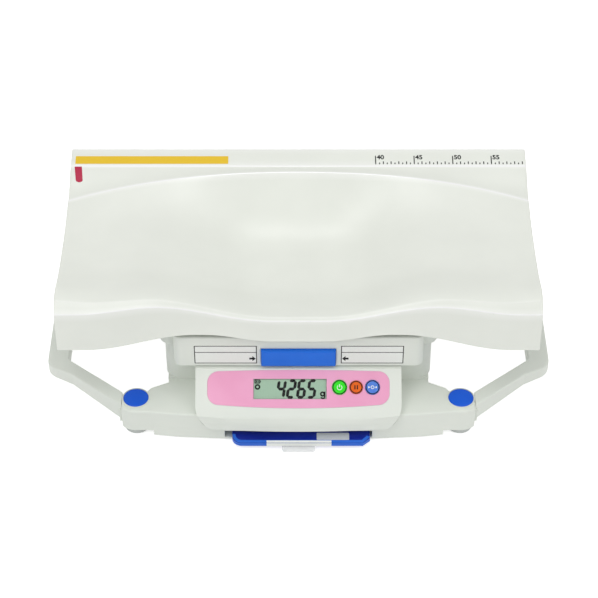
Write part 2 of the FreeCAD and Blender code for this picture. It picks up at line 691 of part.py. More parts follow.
def tray_wire(x, outer, inner):
    """Closed section of a wall between two distances from the outer line."""
    top = moved_section(x, outer)
    under = [(degree, points[::-1]) for degree, points in reversed(moved_section(x, inner))]
    edges = [run_edge(x, degree, points) for degree, points in top]
    edges.append(line_edge(x, top[-1][1][-1], under[0][1][0]))
    edges += [run_edge(x, degree, points) for degree, points in under]
    edges.append(line_edge(x, under[-1][1][-1], top[0][1][0]))
    return Part.Wire(edges)


TRAY_STEPS = (0, 0.12, 0.24, 0.36, 0.47, 0.58, 0.69, 0.8, 0.9, 1)


def tray_stations():
    """Places of the loft's sections along the tray, closer together where the rim bends."""
    outward = [size("tray_length") / 2 * step for step in TRAY_STEPS]
    return [-x for x in reversed(outward[1:])] + outward


def tray_wall_solid(outer, inner):
    return Part.makeLoft([tray_wire(x, outer, inner) for x in tray_stations()], True, False)


def mount_corners():
    """Screw places of the tray mount: signs and (x, y)."""
    inset = size("mount_wall") + size("mount_tab") / 2
    x = size("mount_half_width") - inset
    rows = (size("mount_front") + inset, size("mount_back") - inset)
    return [(side * x, y) for side in (-1, 1) for y in rows]


def block_shape(left, right, front, back, bottom, top):
    return Part.makeBox(right - left, back - front, top - bottom, FreeCAD.Vector(left, front, bottom))


def above_tray_underside(gap):
    """Everything over the tray's underside, less a gap, for trimming what meets it from below."""
    wires = []
    ceiling = 1.25 * size("rim_height")
    for x in tray_stations():
        runs = moved_section(x, size("tray_wall") + gap)[2:]
        edges = [run_edge(x, degree, points) for degree, points in runs]
        rear, front = runs[0][1][0], runs[-1][1][-1]
        over_rear, over_front = (rear[0], ceiling), (front[0], ceiling)
        edges += [line_edge(x, front, over_front), line_edge(x, over_front, over_rear)]
        edges.append(line_edge(x, over_rear, rear))
        wires.append(Part.Wire(edges))
    return Part.makeLoft(wires, True, False)


def build_tray():
    half = size("tray_length") / 2
    wall = size("tray_wall")
    shell = tray_wall_solid(0, wall)
    lips = []
    for side in (-1, 1):
        band = Part.Face(tray_wire(side * half, wall / 2, wall + size("end_lip")))
        lips.append(band.extrude(FreeCAD.Vector(-side * wall, 0, 0)))
    roof = above_tray_underside(-size("trim_overlap"))
    bosses = []
    holes = []
    tab_top = size("platform_top + pad_rise + rest_gap + mount_wall")
    for x, y in mount_corners():
        foot = FreeCAD.Vector(x, y, tab_top)
        bosses.append(Part.makeCylinder(size("boss_radius"), size("boss_reach"), foot, UP).cut(roof))
        radius = size("tray_screw_radius + run_gap")
        holes.append(Part.makeCylinder(radius, size("tray_hole_depth"), foot, UP))
    shape = shell.fuse(lips + bosses).cut(holes).removeSplitter()
    tray = doc.addObject("Part::Feature", "tray_shell")
    tray.Shape = shape
    settle(tray, "tray_shell")


def build_tray_mount():
    bottom = size("platform_top + pad_rise + rest_gap")
    half, front, back = size("mount_half_width"), size("mount_front"), size("mount_back")
    wall, tab = size("mount_wall"), size("mount_tab")
    top = size("rim_height")
    ring = block_shape(-half, half, front, back, bottom, top)
    ring = ring.cut(block_shape(-half + wall, half - wall, front + wall, back - wall, bottom, top))
    ring = ring.cut(above_tray_underside(size("mount_gap")))
    pieces = []
    holes = []
    for x, y in mount_corners():
        pieces.append(block_shape(x - tab / 2, x + tab / 2, y - tab / 2, y + tab / 2, bottom, bottom + wall))
        tab_foot = FreeCAD.Vector(x, y, bottom)
        holes.append(Part.makeCylinder(size("tray_screw_radius + run_gap"), wall, tab_foot, UP))
    bridge = block_shape(-half + wall, half - wall, size("post_setback - post_radius - post_clear"),
                         size("post_setback + post_radius + post_clear"), bottom, bottom + wall)
    foot = size("stiffener_height - fork_drop - fork_sheet - post_clear * 1.5")
    post = Part.makeCylinder(size("post_radius"), bottom + wall - foot,
                             FreeCAD.Vector(0, size("post_setback"), foot), UP)
    shape = ring.fuse(pieces + [bridge, post]).cut(holes).removeSplitter()
    mount = doc.addObject("Part::Feature", "tray_mount_frame")
    mount.Shape = shape
    settle(mount, "tray_mount_frame")


def build_tray_screws():
    pieces = []
    inset = "(mount_wall + mount_tab / 2)"
    seat = "platform_top + pad_rise + rest_gap"
    for side in ("-", ""):
        for y in (f"mount_front + {inset}", f"mount_back - {inset}"):
            x = f"{side}(mount_half_width - {inset})"
            pieces.append(screw(x, y, f"{seat} - tray_screw_head", "head_radius", "tray_screw_head",
                                f"{seat} + mount_wall + tray_screw_grip", "tray_screw_radius"))
    group("tray_mount_screws", pieces)


# ---------------------------------------------------------------- platform and lock lever

PLATE_SCREWS = ("stiffener_front + stiffener_screw_inset", "stiffener_back - stiffener_screw_inset")


def build_platform():
    body = new_body("platform_cover")
    top = sketch(body, at=("0", "0", "platform_rim"))
    rounded_rectangle(top, "-platform_half_width", "platform_half_width", "platform_front", "platform_back",
                      "platform_corner")
    pad(body, top, "platform_top - platform_rim")
    bay = sketch(body, at=("0", "0", "bay_bottom"))
    rounded_rectangle(bay, "-bay_half_width", "bay_half_width", "bay_front", "bay_back", "bay_corner")
    pad(body, bay, "platform_top - bay_bottom")
    dress(body, "Fillet", "cover_round", lambda edge: lies_at(edge, "z", "platform_top"))
    dress(body, "Fillet", "cover_round / 2", lambda edge: lies_at(edge, "z", "bay_bottom"))
    hollow = sketch(body, at=("0", "0", "platform_rim"))
    rounded_rectangle(hollow, "-platform_half_width + cover_wall", "platform_half_width - cover_wall",
                      "platform_front + cover_wall", "platform_back - cover_wall",
                      "platform_corner - cover_wall")
    pocket(body, hollow, "platform_top - platform_rim - cover_wall")
    inside = sketch(body, at=("0", "0", "bay_bottom + cover_wall"))
    rectangle(inside, "-bay_half_width + cover_wall", "bay_half_width - cover_wall", "bay_front + cover_wall",
              "bay_back - cover_wall")
    pocket(body, inside, "platform_top - bay_bottom - 2 * cover_wall")
    mouth = sketch(body, "XZ_Plane", at=("0", "0", "-bay_front - cover_wall"))
    rectangle(mouth, "-lever_half_width - lever_gap", "lever_half_width + lever_gap",
              "lever_bottom - lever_gap", "lever_top + lever_gap")
    pocket(body, mouth, "cover_wall")
    for side in ("-", ""):
        for y in PLATE_SCREWS:
            boss = sketch(body, at=("0", "0", "stiffener_height + stiffener_sheet"))
            circle(boss, f"{side}stiffener_screw_x", y, "boss_radius")
            pad(body, boss, "platform_top - cover_wall - stiffener_height - stiffener_sheet + boss_sink")
            hole = sketch(body, at=("0", "0", "stiffener_height + stiffener_sheet"))
            circle(hole, f"{side}stiffener_screw_x", y, "tray_screw_radius + run_gap")
            pocket(body, hole, "stiffener_screw_reach + boss_sink")
    post_hole = sketch(body, at=("0", "0", "platform_top - cover_wall"))
    circle(post_hole, "0", "post_setback", "post_radius + post_clear")
    pocket(body, post_hole, "cover_wall")
    settle(body, "platform_cover")


def build_platform_plate():
    body = new_body("platform_stiffener")
    plate = sketch(body, at=("0", "0", "stiffener_height"))
    rounded_rectangle(plate, "-stiffener_half_width", "stiffener_half_width", "stiffener_front",
                      "stiffener_back", "platform_corner - cover_wall")
    pad(body, plate, "stiffener_sheet")
    openings = sketch(body, at=("0", "0", "stiffener_height"))
    circle(openings, "0", "post_setback", "post_radius + post_clear")
    for side in ("-", ""):
        for y in PLATE_SCREWS:
            circle(openings, f"{side}stiffener_screw_x", y, "tray_screw_radius + run_gap")
    pocket(body, openings, "stiffener_sheet")
    settle(body, "platform_stiffener")
    screws = []
    pads = []
    for side in ("-", ""):
        for y in PLATE_SCREWS:
            screws.append(screw(f"{side}stiffener_screw_x", y, "stiffener_height - head_rise", "head_radius",
                                "head_rise", "stiffener_height + stiffener_sheet + stiffener_screw_reach",
                                "tray_screw_radius"))
        for y in ("mount_front + pad_inset", "mount_back - pad_inset"):
            pads.append(rod(f"{side}(mount_half_width - pad_side)", y, "platform_top",
                            "platform_top + pad_rise", "pad_radius"))
    group("platform_screws", screws)
    group("platform_pads", pads)


def build_lever():
    body = new_body("lock_lever")
    grip = sketch(body, at=("0", "0", "lever_bottom"))
    rectangle(grip, "-lever_half_width", "lever_half_width", "lever_front", "lever_front + lever_grip_depth")
    pad(body, grip, "lever_top - lever_bottom")
    dress(body, "Fillet", "lever_round", lambda edge: lies_at(edge, "y", "lever_front"))
    fork = sketch(body, at=("0", "0", "stiffener_height - fork_drop - fork_sheet"))
    slot = "(post_radius + post_clear)"
    slot_end = f"post_setback - {slot}"
    outline(fork, [
        ("-fork_half_width", "lever_front + lever_grip_depth / 2"),
        ("fork_half_width", "lever_front + lever_grip_depth / 2"),
        ("fork_half_width", "fork_reach"), (slot, "fork_reach"), (slot, slot_end),
        (f"-{slot}", slot_end), (f"-{slot}", "fork_reach"), ("-fork_half_width", "fork_reach"),
    ])
    pad(body, fork, "fork_sheet")
    settle(body, "lock_lever")


# ---------------------------------------------------------------- base cases

SEAM_X = "(pivot_x + ear_radius)"


def arm_outline(side):
    """One arm seen from above: front edge, round end trimmed at the leg seam, ear and rear edge."""
    bevel = "(ear_radius * sqrt(0.5))"
    points = [
        ("0", "bow_front"), ("bow_half_width", "bow_front"), ("arm_mid_x", "arm_mid_front"),
        ("pivot_x - knuckle_radius", "pivot_y - arm_end_radius + knuckle_gap"),
        ("pivot_x", "pivot_y - arm_end_radius", "arm_end_radius"),
        (SEAM_X, "pivot_y - sqrt(arm_end_radius ^ 2 - ear_radius ^ 2)"), (SEAM_X, "pivot_y", "ear_radius"),
        (f"pivot_x - {bevel}", f"pivot_y + {bevel}"),
        ("pivot_x - ear_radius", "pivot_y + ear_radius + arm_rear_rise"),
        ("waist_half_width", "tower_front - arm_overlap"),
        ("waist_half_width", "tower_front + arm_overlap"), ("0", "tower_front + arm_overlap"),
    ]
    return points if side > 0 else mirrored(points)


def pad_arms(body, bottom, rise):
    for side in (-1, 1):
        plan = sketch(body, at=("0", "0", bottom))
        outline(plan, arm_outline(side))
        pad(body, plan, rise)


def pad_waist(body, bottom, rise):
    plan = sketch(body, at=("0", "0", bottom))
    outline(plan, [
        ("-waist_half_width", "tower_front"), ("waist_half_width", "tower_front"),
        ("waist_half_width", "waist_back"), ("tail_half_width", "tail_back"),
        ("-tail_half_width", "tail_back"), ("-waist_half_width", "waist_back"),
    ])
    pad(body, plan, rise)


def cut_box(body, left, right, front, back, bottom, top):
    hollow = sketch(body, at=("0", "0", bottom))
    rectangle(hollow, left, right, front, back)
    pocket(body, hollow, f"({top}) - ({bottom})")


def mirrored_span(side, near, far):
    """Left and right ends of a span given by its distances from the middle."""
    return (near, far) if side > 0 else (f"-({far})", f"-({near})")


def cut_clevis(body, bottom, top):
    """Gap of the clevis: the knuckle turns in it, and the leg swings out of it to the back."""
    inner, outer = "pivot_x - knuckle_radius - clevis_side", SEAM_X + " + knuckle_radius"
    front, back = "pivot_y - knuckle_radius - knuckle_gap", "pivot_y + clevis_reach"
    for side in (-1, 1):
        left, right = mirrored_span(side, inner, outer)
        cut_box(body, left, right, front, back, bottom, top)


def cut_pin_holes(body, bottom, top):
    holes = sketch(body, at=("0", "0", bottom))
    for side in ("-", ""):
        circle(holes, f"{side}pivot_x", "pivot_y", "pin_radius + run_gap")
    pocket(body, holes, f"({top}) - ({bottom})")


CASE_SCREWS = (("case_screw_x", "case_screw_front"), ("case_screw_x", "case_screw_back"))
BATTERY_RIGHT = "(battery_left + battery_length + 2 * contact_sheet + 2 * battery_gap)"
BATTERY_BACK = "(battery_front + 4 * battery_radius + 3 * battery_gap)"


def build_lower_case():
    body = new_body("base_lower_case")
    pad_arms(body, "base_bottom", "base_seam - base_bottom")
    pad_waist(body, "base_bottom", "base_seam - base_bottom")
    for side in (-1, 1):
        left, right = mirrored_span(side, "arm_raise_x", SEAM_X + " + knuckle_radius")
        cut_box(body, left, right, "pod_nose", "waist_back", "base_bottom", "arm_end_bottom")
    cut_box(body, "-slot_half_width", "slot_half_width", "pod_nose", "slot_back", "slot_bottom", "slot_top")
    cut_box(body, "battery_left", BATTERY_RIGHT, "battery_front", BATTERY_BACK, "door_top", "base_seam")
    cut_box(body, "battery_left", BATTERY_RIGHT, "battery_front - door_entry", "tail_back + door_entry",
            "base_bottom", "door_top")
    cut_box(body, "battery_left - door_tongue", f"{BATTERY_RIGHT} + door_tongue",
            "battery_front - door_entry", "tail_back + door_entry", "door_top - tongue_groove", "door_top")
    cut_clevis(body, "knuckle_bottom - knuckle_gap", "base_seam")
    cut_pin_holes(body, "pin_bottom", "base_seam")
    holes = sketch(body, at=("0", "0", "base_bottom"))
    wells = sketch(body, at=("0", "0", "base_bottom"))
    for x, y in CASE_SCREWS:
        for side in ("-", ""):
            circle(holes, side + x, y, "tray_screw_radius + run_gap")
            circle(wells, side + x, y, "head_radius + well_gap")
    pocket(body, holes, "base_seam - base_bottom")
    pocket(body, wells, "well_depth")
    settle(body, "base_lower_case")


def build_upper_case():
    body = new_body("base_upper_case")
    pad_arms(body, "base_seam", "arm_top - base_seam")
    pad_waist(body, "base_seam", "tower_floor - base_seam")
    tower = sketch(body, at=("0", "0", "tower_floor"))
    rounded_rectangle(tower, "-tower_half_width", "tower_half_width", "tower_front", "tower_back",
                      "tower_corner")
    pad(body, tower, "tower_top - tower_floor")
    inside = sketch(body, at=("0", "0", "tower_floor + cover_wall"))
    rounded_rectangle(inside, "-tower_half_width + cover_wall", "tower_half_width - cover_wall",
                      "tower_front + cover_wall", "tower_back - cover_wall", "tower_corner - cover_wall")
    pocket(body, inside, "tower_top - tower_floor - 2 * cover_wall")
    cut_box(body, "-tail_half_width + 2 * cover_wall", "tail_half_width - 2 * cover_wall",
            "tower_front + cover_wall", "tail_back - cover_wall", "base_seam", "tower_floor + cover_wall")
    cut_box(body, "tower_window_x - tower_window_half_width", "tower_window_x + tower_window_half_width",
            "cell_setback - tower_window_half_depth", "cell_setback + tower_window_half_depth",
            "tower_top - cover_wall", "tower_top")
    dress(body, "Fillet", "case_round", lambda edge: lies_at(edge, "z", "arm_top")
          and not lies_at(edge, "y", "tower_front"))
    rings = sketch(body, at=("0", "0", "arm_top - case_round"))
    for side in ("-", ""):
        circle(rings, f"{side}pivot_x", "pivot_y", "ear_radius")
        circle(rings, f"{side}pivot_x", "pivot_y", "cap_radius + cap_gap")
    pad(body, rings, "case_round + cap_ring_rise")
    cut_clevis(body, "base_seam", "knuckle_top + knuckle_gap")
    cut_pin_holes(body, "knuckle_top", "arm_top - case_round")
    screw_holes = sketch(body, at=("0", "0", "base_seam"))
    for x, y in CASE_SCREWS:
        for side in ("-", ""):
            circle(screw_holes, side + x, y, "tray_screw_radius + run_gap")
    pocket(body, screw_holes, "arm_top - case_screw_roof - base_seam")
    room = new_body("pod_room")
    pod_block(room, "pod_gap")
    fit = body.newObject("PartDesign::Boolean", "pod_seat")
    fit.setObjects([room])
    fit.Type = "Cut"
    doc.recompute()
    settle(body, "base_upper_case")


def build_case_screws():
    pieces = []
    for x, y in CASE_SCREWS:
        for side in ("-", ""):
            pieces.append(screw(side + x, y, "base_bottom + well_depth - head_rise", "head_radius",
                                "head_rise", "arm_top - case_screw_roof - rest_gap", "tray_screw_radius"))
    group("case_screws", pieces)


# ---------------------------------------------------------------- legs, pivots and feet

def leg_outline(side):
    """One leg seen from above: slanted root, jog, round outer corner, straight rear bar with a round end."""
    bar_out = "(leg_corner_x + leg_bar_width)"
    near = f"{SEAM_X} + knuckle_gap"
    corner_y = "(leg_jog_y + leg_jog_rise)"
    half_bar = "(leg_bar_width / 2)"
    points = [
        (near, "leg_root_front"), ("leg_jog_x", "leg_jog_y"),
        (f"{bar_out} - leg_round * (1 - cos(leg_round_turn * 1deg))", corner_y, "leg_round"),
        (bar_out, f"{corner_y} + leg_round * sin(leg_round_turn * 1deg)"),
        (bar_out, "rear_foot_y", half_bar),
        (f"leg_corner_x + {half_bar}", f"rear_foot_y + {half_bar}", half_bar),
        ("leg_corner_x", "rear_foot_y"),
        ("leg_corner_x", "leg_corner_y"), (near, "leg_root_back"),
    ]
    return points if side > 0 else mirrored(points)


def cut_leg_slope(body, sign, height, change):
    """Slants the leg's upper or lower side from the seam; the change is reached at the inner corner."""
    wedge = sketch(body, "XZ_Plane", at=("0", "0", "-rear_foot_y - leg_bar_width"))
    start, outer = f"{sign}{SEAM_X}", f"{sign}(2 * leg_corner_x - {SEAM_X})"
    outline(wedge, [(start, height), (outer, f"{height} + 2 * {change}"), (outer, f"{height} - {change}"),
                    (start, f"{height} - {change}")])
    pocket(body, wedge, "rear_foot_y + 3 * leg_bar_width")


def build_leg(side, label):
    body = new_body(label)
    sign = "" if side > 0 else "-"
    bar_x = f"{sign}(leg_corner_x + leg_bar_width / 2)"
    plan = sketch(body, at=("0", "0", "knuckle_bottom"))
    outline(plan, leg_outline(side))
    pad(body, plan, "leg_top - knuckle_bottom")
    for x, y in (("leg_corner_x", "leg_corner_y"), ("leg_jog_x", "leg_jog_y")):
        dress(body, "Fillet", "leg_inner_round",
              lambda edge: lies_at(edge, "x", sign + x) and lies_at(edge, "y", y))
    cut_leg_slope(body, sign, "leg_top", "(-leg_top_drop)")
    cut_leg_slope(body, sign, "knuckle_bottom", "leg_bottom_rise")
    above = size("leg_top - 2 * leg_top_drop")
    dress(body, "Fillet", "case_round", lambda edge: edge.BoundBox.ZMin > above
          and not lies_at(edge, "x", f"{sign}({SEAM_X} + knuckle_gap)"))
    knuckle = sketch(body, at=("0", "0", "knuckle_bottom"))
    circle(knuckle, f"{sign}pivot_x", "pivot_y", "knuckle_radius")
    pad(body, knuckle, "knuckle_top - knuckle_bottom")
    neck = sketch(body, at=("0", "0", "knuckle_bottom"))
    left, right = mirrored_span(side, "pivot_x", f"{SEAM_X} + cover_wall")
    rectangle(neck, left, right, "pivot_y - knuckle_radius", "leg_root_back")
    pad(body, neck, "knuckle_top - knuckle_bottom")
    boss = sketch(body, at=("0", "0", "rear_foot_height"))
    circle(boss, bar_x, "rear_foot_y", "rear_foot_radius + boss_sink")
    pad(body, boss, "knuckle_bottom + 2 * leg_bottom_rise - rear_foot_height")
    hole = sketch(body, at=("0", "0", "knuckle_bottom"))
    circle(hole, f"{sign}pivot_x", "pivot_y", "pin_radius + run_gap")
    pocket(body, hole, "knuckle_top - knuckle_bottom")
    settle(body, label)


def foot_profile(radius, edge, top):
    """Half section of a round foot with a slant round its sole."""
    return [("0", "0"), (f"{radius} - {edge}", "0"), (radius, edge), (radius, top), ("0", top)]


def build_side(side, word):
    """Leg with its pin, cap, washer and the two feet of one side."""
    sign = "" if side > 0 else "-"
    pivot = f"{sign}pivot_x"
    build_leg(side, f"{word}_leg")
    pin_top = "arm_top - case_round - rest_gap"
    turned(f"{word}_pivot_pin", [
        ("0", "pin_bottom"), ("pin_radius - pin_edge", "pin_bottom"), ("pin_radius", "pin_bottom + pin_edge"),
        ("pin_radius", pin_top), ("0", pin_top),
    ], pivot, "pivot_y")
    turned(f"{word}_pivot_cap", [
        ("0", "arm_top"), ("cap_radius - pin_edge", "arm_top"), ("cap_radius", "arm_top + pin_edge"),
        ("cap_radius", "cap_top - 2 * pin_edge"), ("cap_radius - 2 * pin_edge", "cap_top - pin_edge / 3"),
        ("0", "cap_top"),
    ], pivot, "pivot_y")
    washer_bottom = "knuckle_bottom - knuckle_gap"
    washer_radius = "knuckle_radius - boss_sink"
    turned(f"{word}_pivot_washer", [
        ("pin_radius + run_gap", washer_bottom), (washer_radius, washer_bottom),
        (washer_radius, f"{washer_bottom} + washer_sheet"),
        ("pin_radius + run_gap", f"{washer_bottom} + washer_sheet"),
    ], pivot, "pivot_y")
    turned(f"{word}_front_foot", foot_profile("front_foot_radius", "front_foot_edge", "arm_end_bottom"),
           pivot, "front_foot_y")
    turned(f"{word}_rear_foot", foot_profile("rear_foot_radius", "rear_foot_edge", "rear_foot_height"),
           f"{sign}(leg_corner_x + leg_bar_width / 2)", "rear_foot_y")


# ---------------------------------------------------------------- display pod

def face_line_y(depth, z):
    """Where a line parallel to the tilted face, a depth below it, reaches a height."""
    return (f"(pod_brow_front + ({depth}) / sin(face_tilt * 1deg)"
            f" + (({z}) - pod_brow_height) / tan(face_tilt * 1deg))")


def pod_profile(gap):
    """Side view of the pod, moved outward by a gap: underside, back, top, tilted face, round brow, front."""
    radius = f"(pod_brow_round + {gap})"
    centre_y = "(pod_nose + pod_brow_round)"
    centre_z = (f"(pod_brow_height + (({centre_y} - pod_brow_front) * sin(face_tilt * 1deg) - pod_brow_round)"
                " / cos(face_tilt * 1deg))")
    front, bottom = f"pod_nose - {gap}", f"pod_bottom - {gap}"
    back, top = f"pod_back + {gap}", f"pod_top + {gap}"
    return [
        (front, bottom), (back, bottom), (back, top), (face_line_y(f"-{gap}", top), top),
        (f"{centre_y} - {radius} * sin(face_tilt * 1deg)",
         f"{centre_z} + {radius} * cos(face_tilt * 1deg)", radius),
        (front, centre_z),
    ]


def keep_within(body, drawn, corners, length):
    """Cuts away all that lies outside an outline."""
    far = "(2 * pod_half_width)"
    rectangle(drawn, f"-{far}", far, f"-{far}", far)
    outline(drawn, corners)
    pocket(body, drawn, length, middle=True)


def bow_radius(half_chord, bow):
    """Radius of an arc from half its chord and its rise."""
    return f"((({half_chord}) ^ 2 + {bow} ^ 2) / (2 * {bow}))"


def pod_block(body, gap="0"):
    """Solid pod: its side view across the width, trimmed to round lower corners and a bowed front."""
    side = sketch(body, "YZ_Plane")
    outline(side, pod_profile(gap))
    pad(body, side, "4 * pod_half_width", middle=True)
    half, corner = f"(pod_half_width + {gap})", f"(pod_corner + {gap})"
    low = (f"((pod_nose - {gap} - pod_brow_front) * cos(face_tilt * 1deg)"
           f" + (pod_bottom - {gap} - pod_brow_height) * sin(face_tilt * 1deg) - face_middle)")
    keep_within(body, face_sketch(body), [
        (f"{half} - {corner}", low, corner), (half, f"{low} + {corner}"), (half, half), (f"-{half}", half),
        (f"-{half}", f"{low} + {corner}", corner), (f"-({half} - {corner})", low),
    ], "4 * pod_half_width")
    ends = f"pod_nose - {gap} + pod_bow"
    keep_within(body, sketch(body), [
        (f"-{half}", ends, bow_radius(half, "pod_bow")), (half, ends), (half, half), (f"-{half}", half),
    ], "4 * pod_top")


def cut_pod_inside(body):
    """Hollow of both shells behind walls of one thickness, straight behind the bowed front."""
    front = "(pod_nose + pod_bow + cover_wall)"
    bottom, top, back = "pod_bottom + cover_wall", "pod_top - cover_wall", "pod_back - cover_wall"
    slope = "tan(face_tilt * 1deg)"
    brow = (f"pod_brow_height + ({front} - pod_brow_front) * {slope} - cover_wall / cos(face_tilt * 1deg)")
    hollow = sketch(body, "YZ_Plane")
    outline(hollow, [(front, bottom), (back, bottom), (back, top), (face_line_y("cover_wall", top), top),
                     (front, brow)])
    pocket(body, hollow, "2 * (pod_half_width - pod_side)", middle=True)


def keep_half(body, bottom, top):
    """Cuts away the slice of the pod between two heights."""
    slice_plan = sketch(body, at=("0", "0", bottom))
    rectangle(slice_plan, "-pod_half_width - pod_gap", "pod_half_width + pod_gap", "pod_nose - pod_gap",
              "pod_back + pod_gap")
    pocket(body, slice_plan, f"({top}) - ({bottom})")


PANEL_HALF = "(pod_half_width - panel_margin)"
BOARD_HALF = "(pod_half_width - pod_side - board_gap)"
BOARD_POSTS = [(f"{side}({BOARD_HALF} - board_post_inset)", f"{end}(board_half_rise - board_post_inset)")
               for side in ("-", "") for end in ("-", "")]
KEYS = (("button_power", "power_key_x", "power_key_radius"), ("button_hold", "hold_key_x", "hold_key_radius"),
        ("button_zero", "zero_key_x", "zero_key_radius"))


def panel_outline(drawn, gap="0"):
    """Front panel seen square to the face: straight sides, bowed upper and lower edges, round corners."""
    half, corner = f"({PANEL_HALF} + {gap})", f"(panel_corner + {gap})"
    inner = f"({PANEL_HALF} - panel_corner)"
    low, high = f"(panel_low - {gap})", f"(panel_top + {gap})"
    outline(drawn, [
        (f"-{inner}", low, f"{bow_radius(inner, 'panel_low_bow')} + {gap}"), (inner, low, corner),
        (half, f"{low} + {corner}"), (half, f"{high} - {corner}", corner),
        (inner, high, f"{bow_radius(inner, 'panel_top_bow')} + {gap}"), (f"-{inner}", high, corner),
        (f"-{half}", f"{high} - {corner}"), (f"-{half}", f"{low} + {corner}", corner),
    ])


def face_window(drawn, margin):
    """The display window's rectangle, made larger all round by a margin."""
    rectangle(drawn, f"lcd_x - lcd_half_width - {margin}", f"lcd_x + lcd_half_width + {margin}",
              f"lcd_y - lcd_half_rise - {margin}", f"lcd_y + lcd_half_rise + {margin}")


def build_pod():
    lower = new_body("pod_lower_shell")
    pod_block(lower)
    cut_pod_inside(lower)
    keep_half(lower, "pod_seam", "pod_top + pod_gap")
    settle(lower, "pod_lower_shell")

    upper = new_body("pod_upper_shell")
    pod_block(upper)
    cut_pod_inside(upper)
    keep_half(upper, "pod_bottom - pod_gap", "pod_seam")
    recess = face_sketch(upper)
    panel_outline(recess, "panel_gap")
    pocket(upper, recess, "panel_sheet", upward=False)
    holes = face_sketch(upper)
    face_window(holes, "0")
    for label, x, radius in KEYS:
        circle(holes, x, "key_rise", f"{radius} + key_gap")
    pocket(upper, holes, "cover_wall + panel_sheet", upward=False)
    posts = face_sketch(upper, "board_depth")
    for x, y in BOARD_POSTS:
        circle(posts, x, y, "board_post_radius")
    pad(upper, posts, "board_depth - cover_wall + post_sink")
    settle(upper, "pod_upper_shell")


def build_panel():
    panel = new_body("display_panel")
    plan = sketch(panel, at=("0", "0", "-panel_sheet"))
    panel_outline(plan)
    pad(panel, plan, "panel_sheet")
    holes = sketch(panel, at=("0", "0", "-panel_sheet"))
    face_window(holes, "(-lcd_lip)")
    for label, x, radius in KEYS:
        circle(holes, x, "key_rise", f"{radius} + key_gap")
    pocket(panel, holes, "panel_sheet")
    settle_tilted(panel, "display_panel")


def build_display():
    window = new_body("lcd_window")
    plan = sketch(window, at=("0", "0", "-panel_sheet - window_sheet"))
    face_window(plan, "(-window_gap)")
    pad(window, plan, "window_sheet")
    settle_tilted(window, "lcd_window")
    shoulder = "-cover_wall - module_drop"
    frame = block("lcd_x - lcd_half_width - module_side", "lcd_x + lcd_half_width + module_side",
                  "lcd_y - lcd_half_rise - module_end", "lcd_y + lcd_half_rise + module_end",
                  "-board_depth", shoulder)
    glass = block("lcd_x - lcd_half_width + glass_inset", "lcd_x + lcd_half_width - glass_inset",
                  "lcd_y - lcd_half_rise + glass_inset", "lcd_y + lcd_half_rise - glass_inset",
                  shoulder, "-panel_sheet - window_sheet - glass_gap")
    settle_tilted(fused([frame, glass]), "lcd_module")


def build_board():
    board = new_body("main_board")
    plan = sketch(board, at=("0", "0", "-board_depth - board_sheet"))
    rectangle(plan, f"-{BOARD_HALF}", BOARD_HALF, "-board_half_rise", "board_half_rise")
    pad(board, plan, "board_sheet")
    holes = sketch(board, at=("0", "0", "-board_depth - board_sheet"))
    for x, y in BOARD_POSTS:
        circle(holes, x, y, "board_hole_radius")
    pocket(board, holes, "board_sheet")
    settle_tilted(board, "main_board")


def build_keys():
    """Three keys, each a cap with a flange and a stem, over a switch on the board."""
    switches = []
    flange_top = "-cover_wall - key_flange_gap"
    flange_bottom = f"{flange_top} - key_flange_sheet"
    stem_tip = "-board_depth + switch_tip_rise + key_travel + key_stem_gap"
    body_top = "-board_depth + switch_rise"
    for label, x, radius in KEYS:
        cap = rod(x, "key_rise", flange_top, "key_proud", radius)
        flange = rod(x, "key_rise", flange_bottom, flange_top, f"{radius} + key_flange_width")
        stem = rod(x, "key_rise", stem_tip, flange_bottom, "key_stem_radius")
        settle_tilted(fused([cap, flange, stem]), label)
        switches.append(fused([
            block(f"{x} - switch_half_width", f"{x} + switch_half_width", "key_rise - switch_half_width",
                  "key_rise + switch_half_width", "-board_depth", body_top),
            rod(x, "key_rise", body_top, "-board_depth + switch_tip_rise", "switch_tip_radius"),
        ]))
    group("button_switches", switches, tilted=True)


# ---------------------------------------------------------------- load cell

CELL_FLOOR = "(tower_floor + cover_wall)"
CELL_BOTTOM = f"({CELL_FLOOR} + cell_foot_rise)"
CELL_TOP = f"({CELL_BOTTOM} + cell_rise)"
CELL_ENDS = [f"(cell_half_length - cell_block_half {shift} cell_bolt_pitch / 2)" for shift in "-+"]


def cut_bolt_holes(body, sign, bottom, depth):
    holes = sketch(body, at=("0", "0", bottom))
    for x in CELL_ENDS:
        circle(holes, sign + x, "cell_setback", "cell_bolt_radius + run_gap")
    pocket(body, holes, depth)


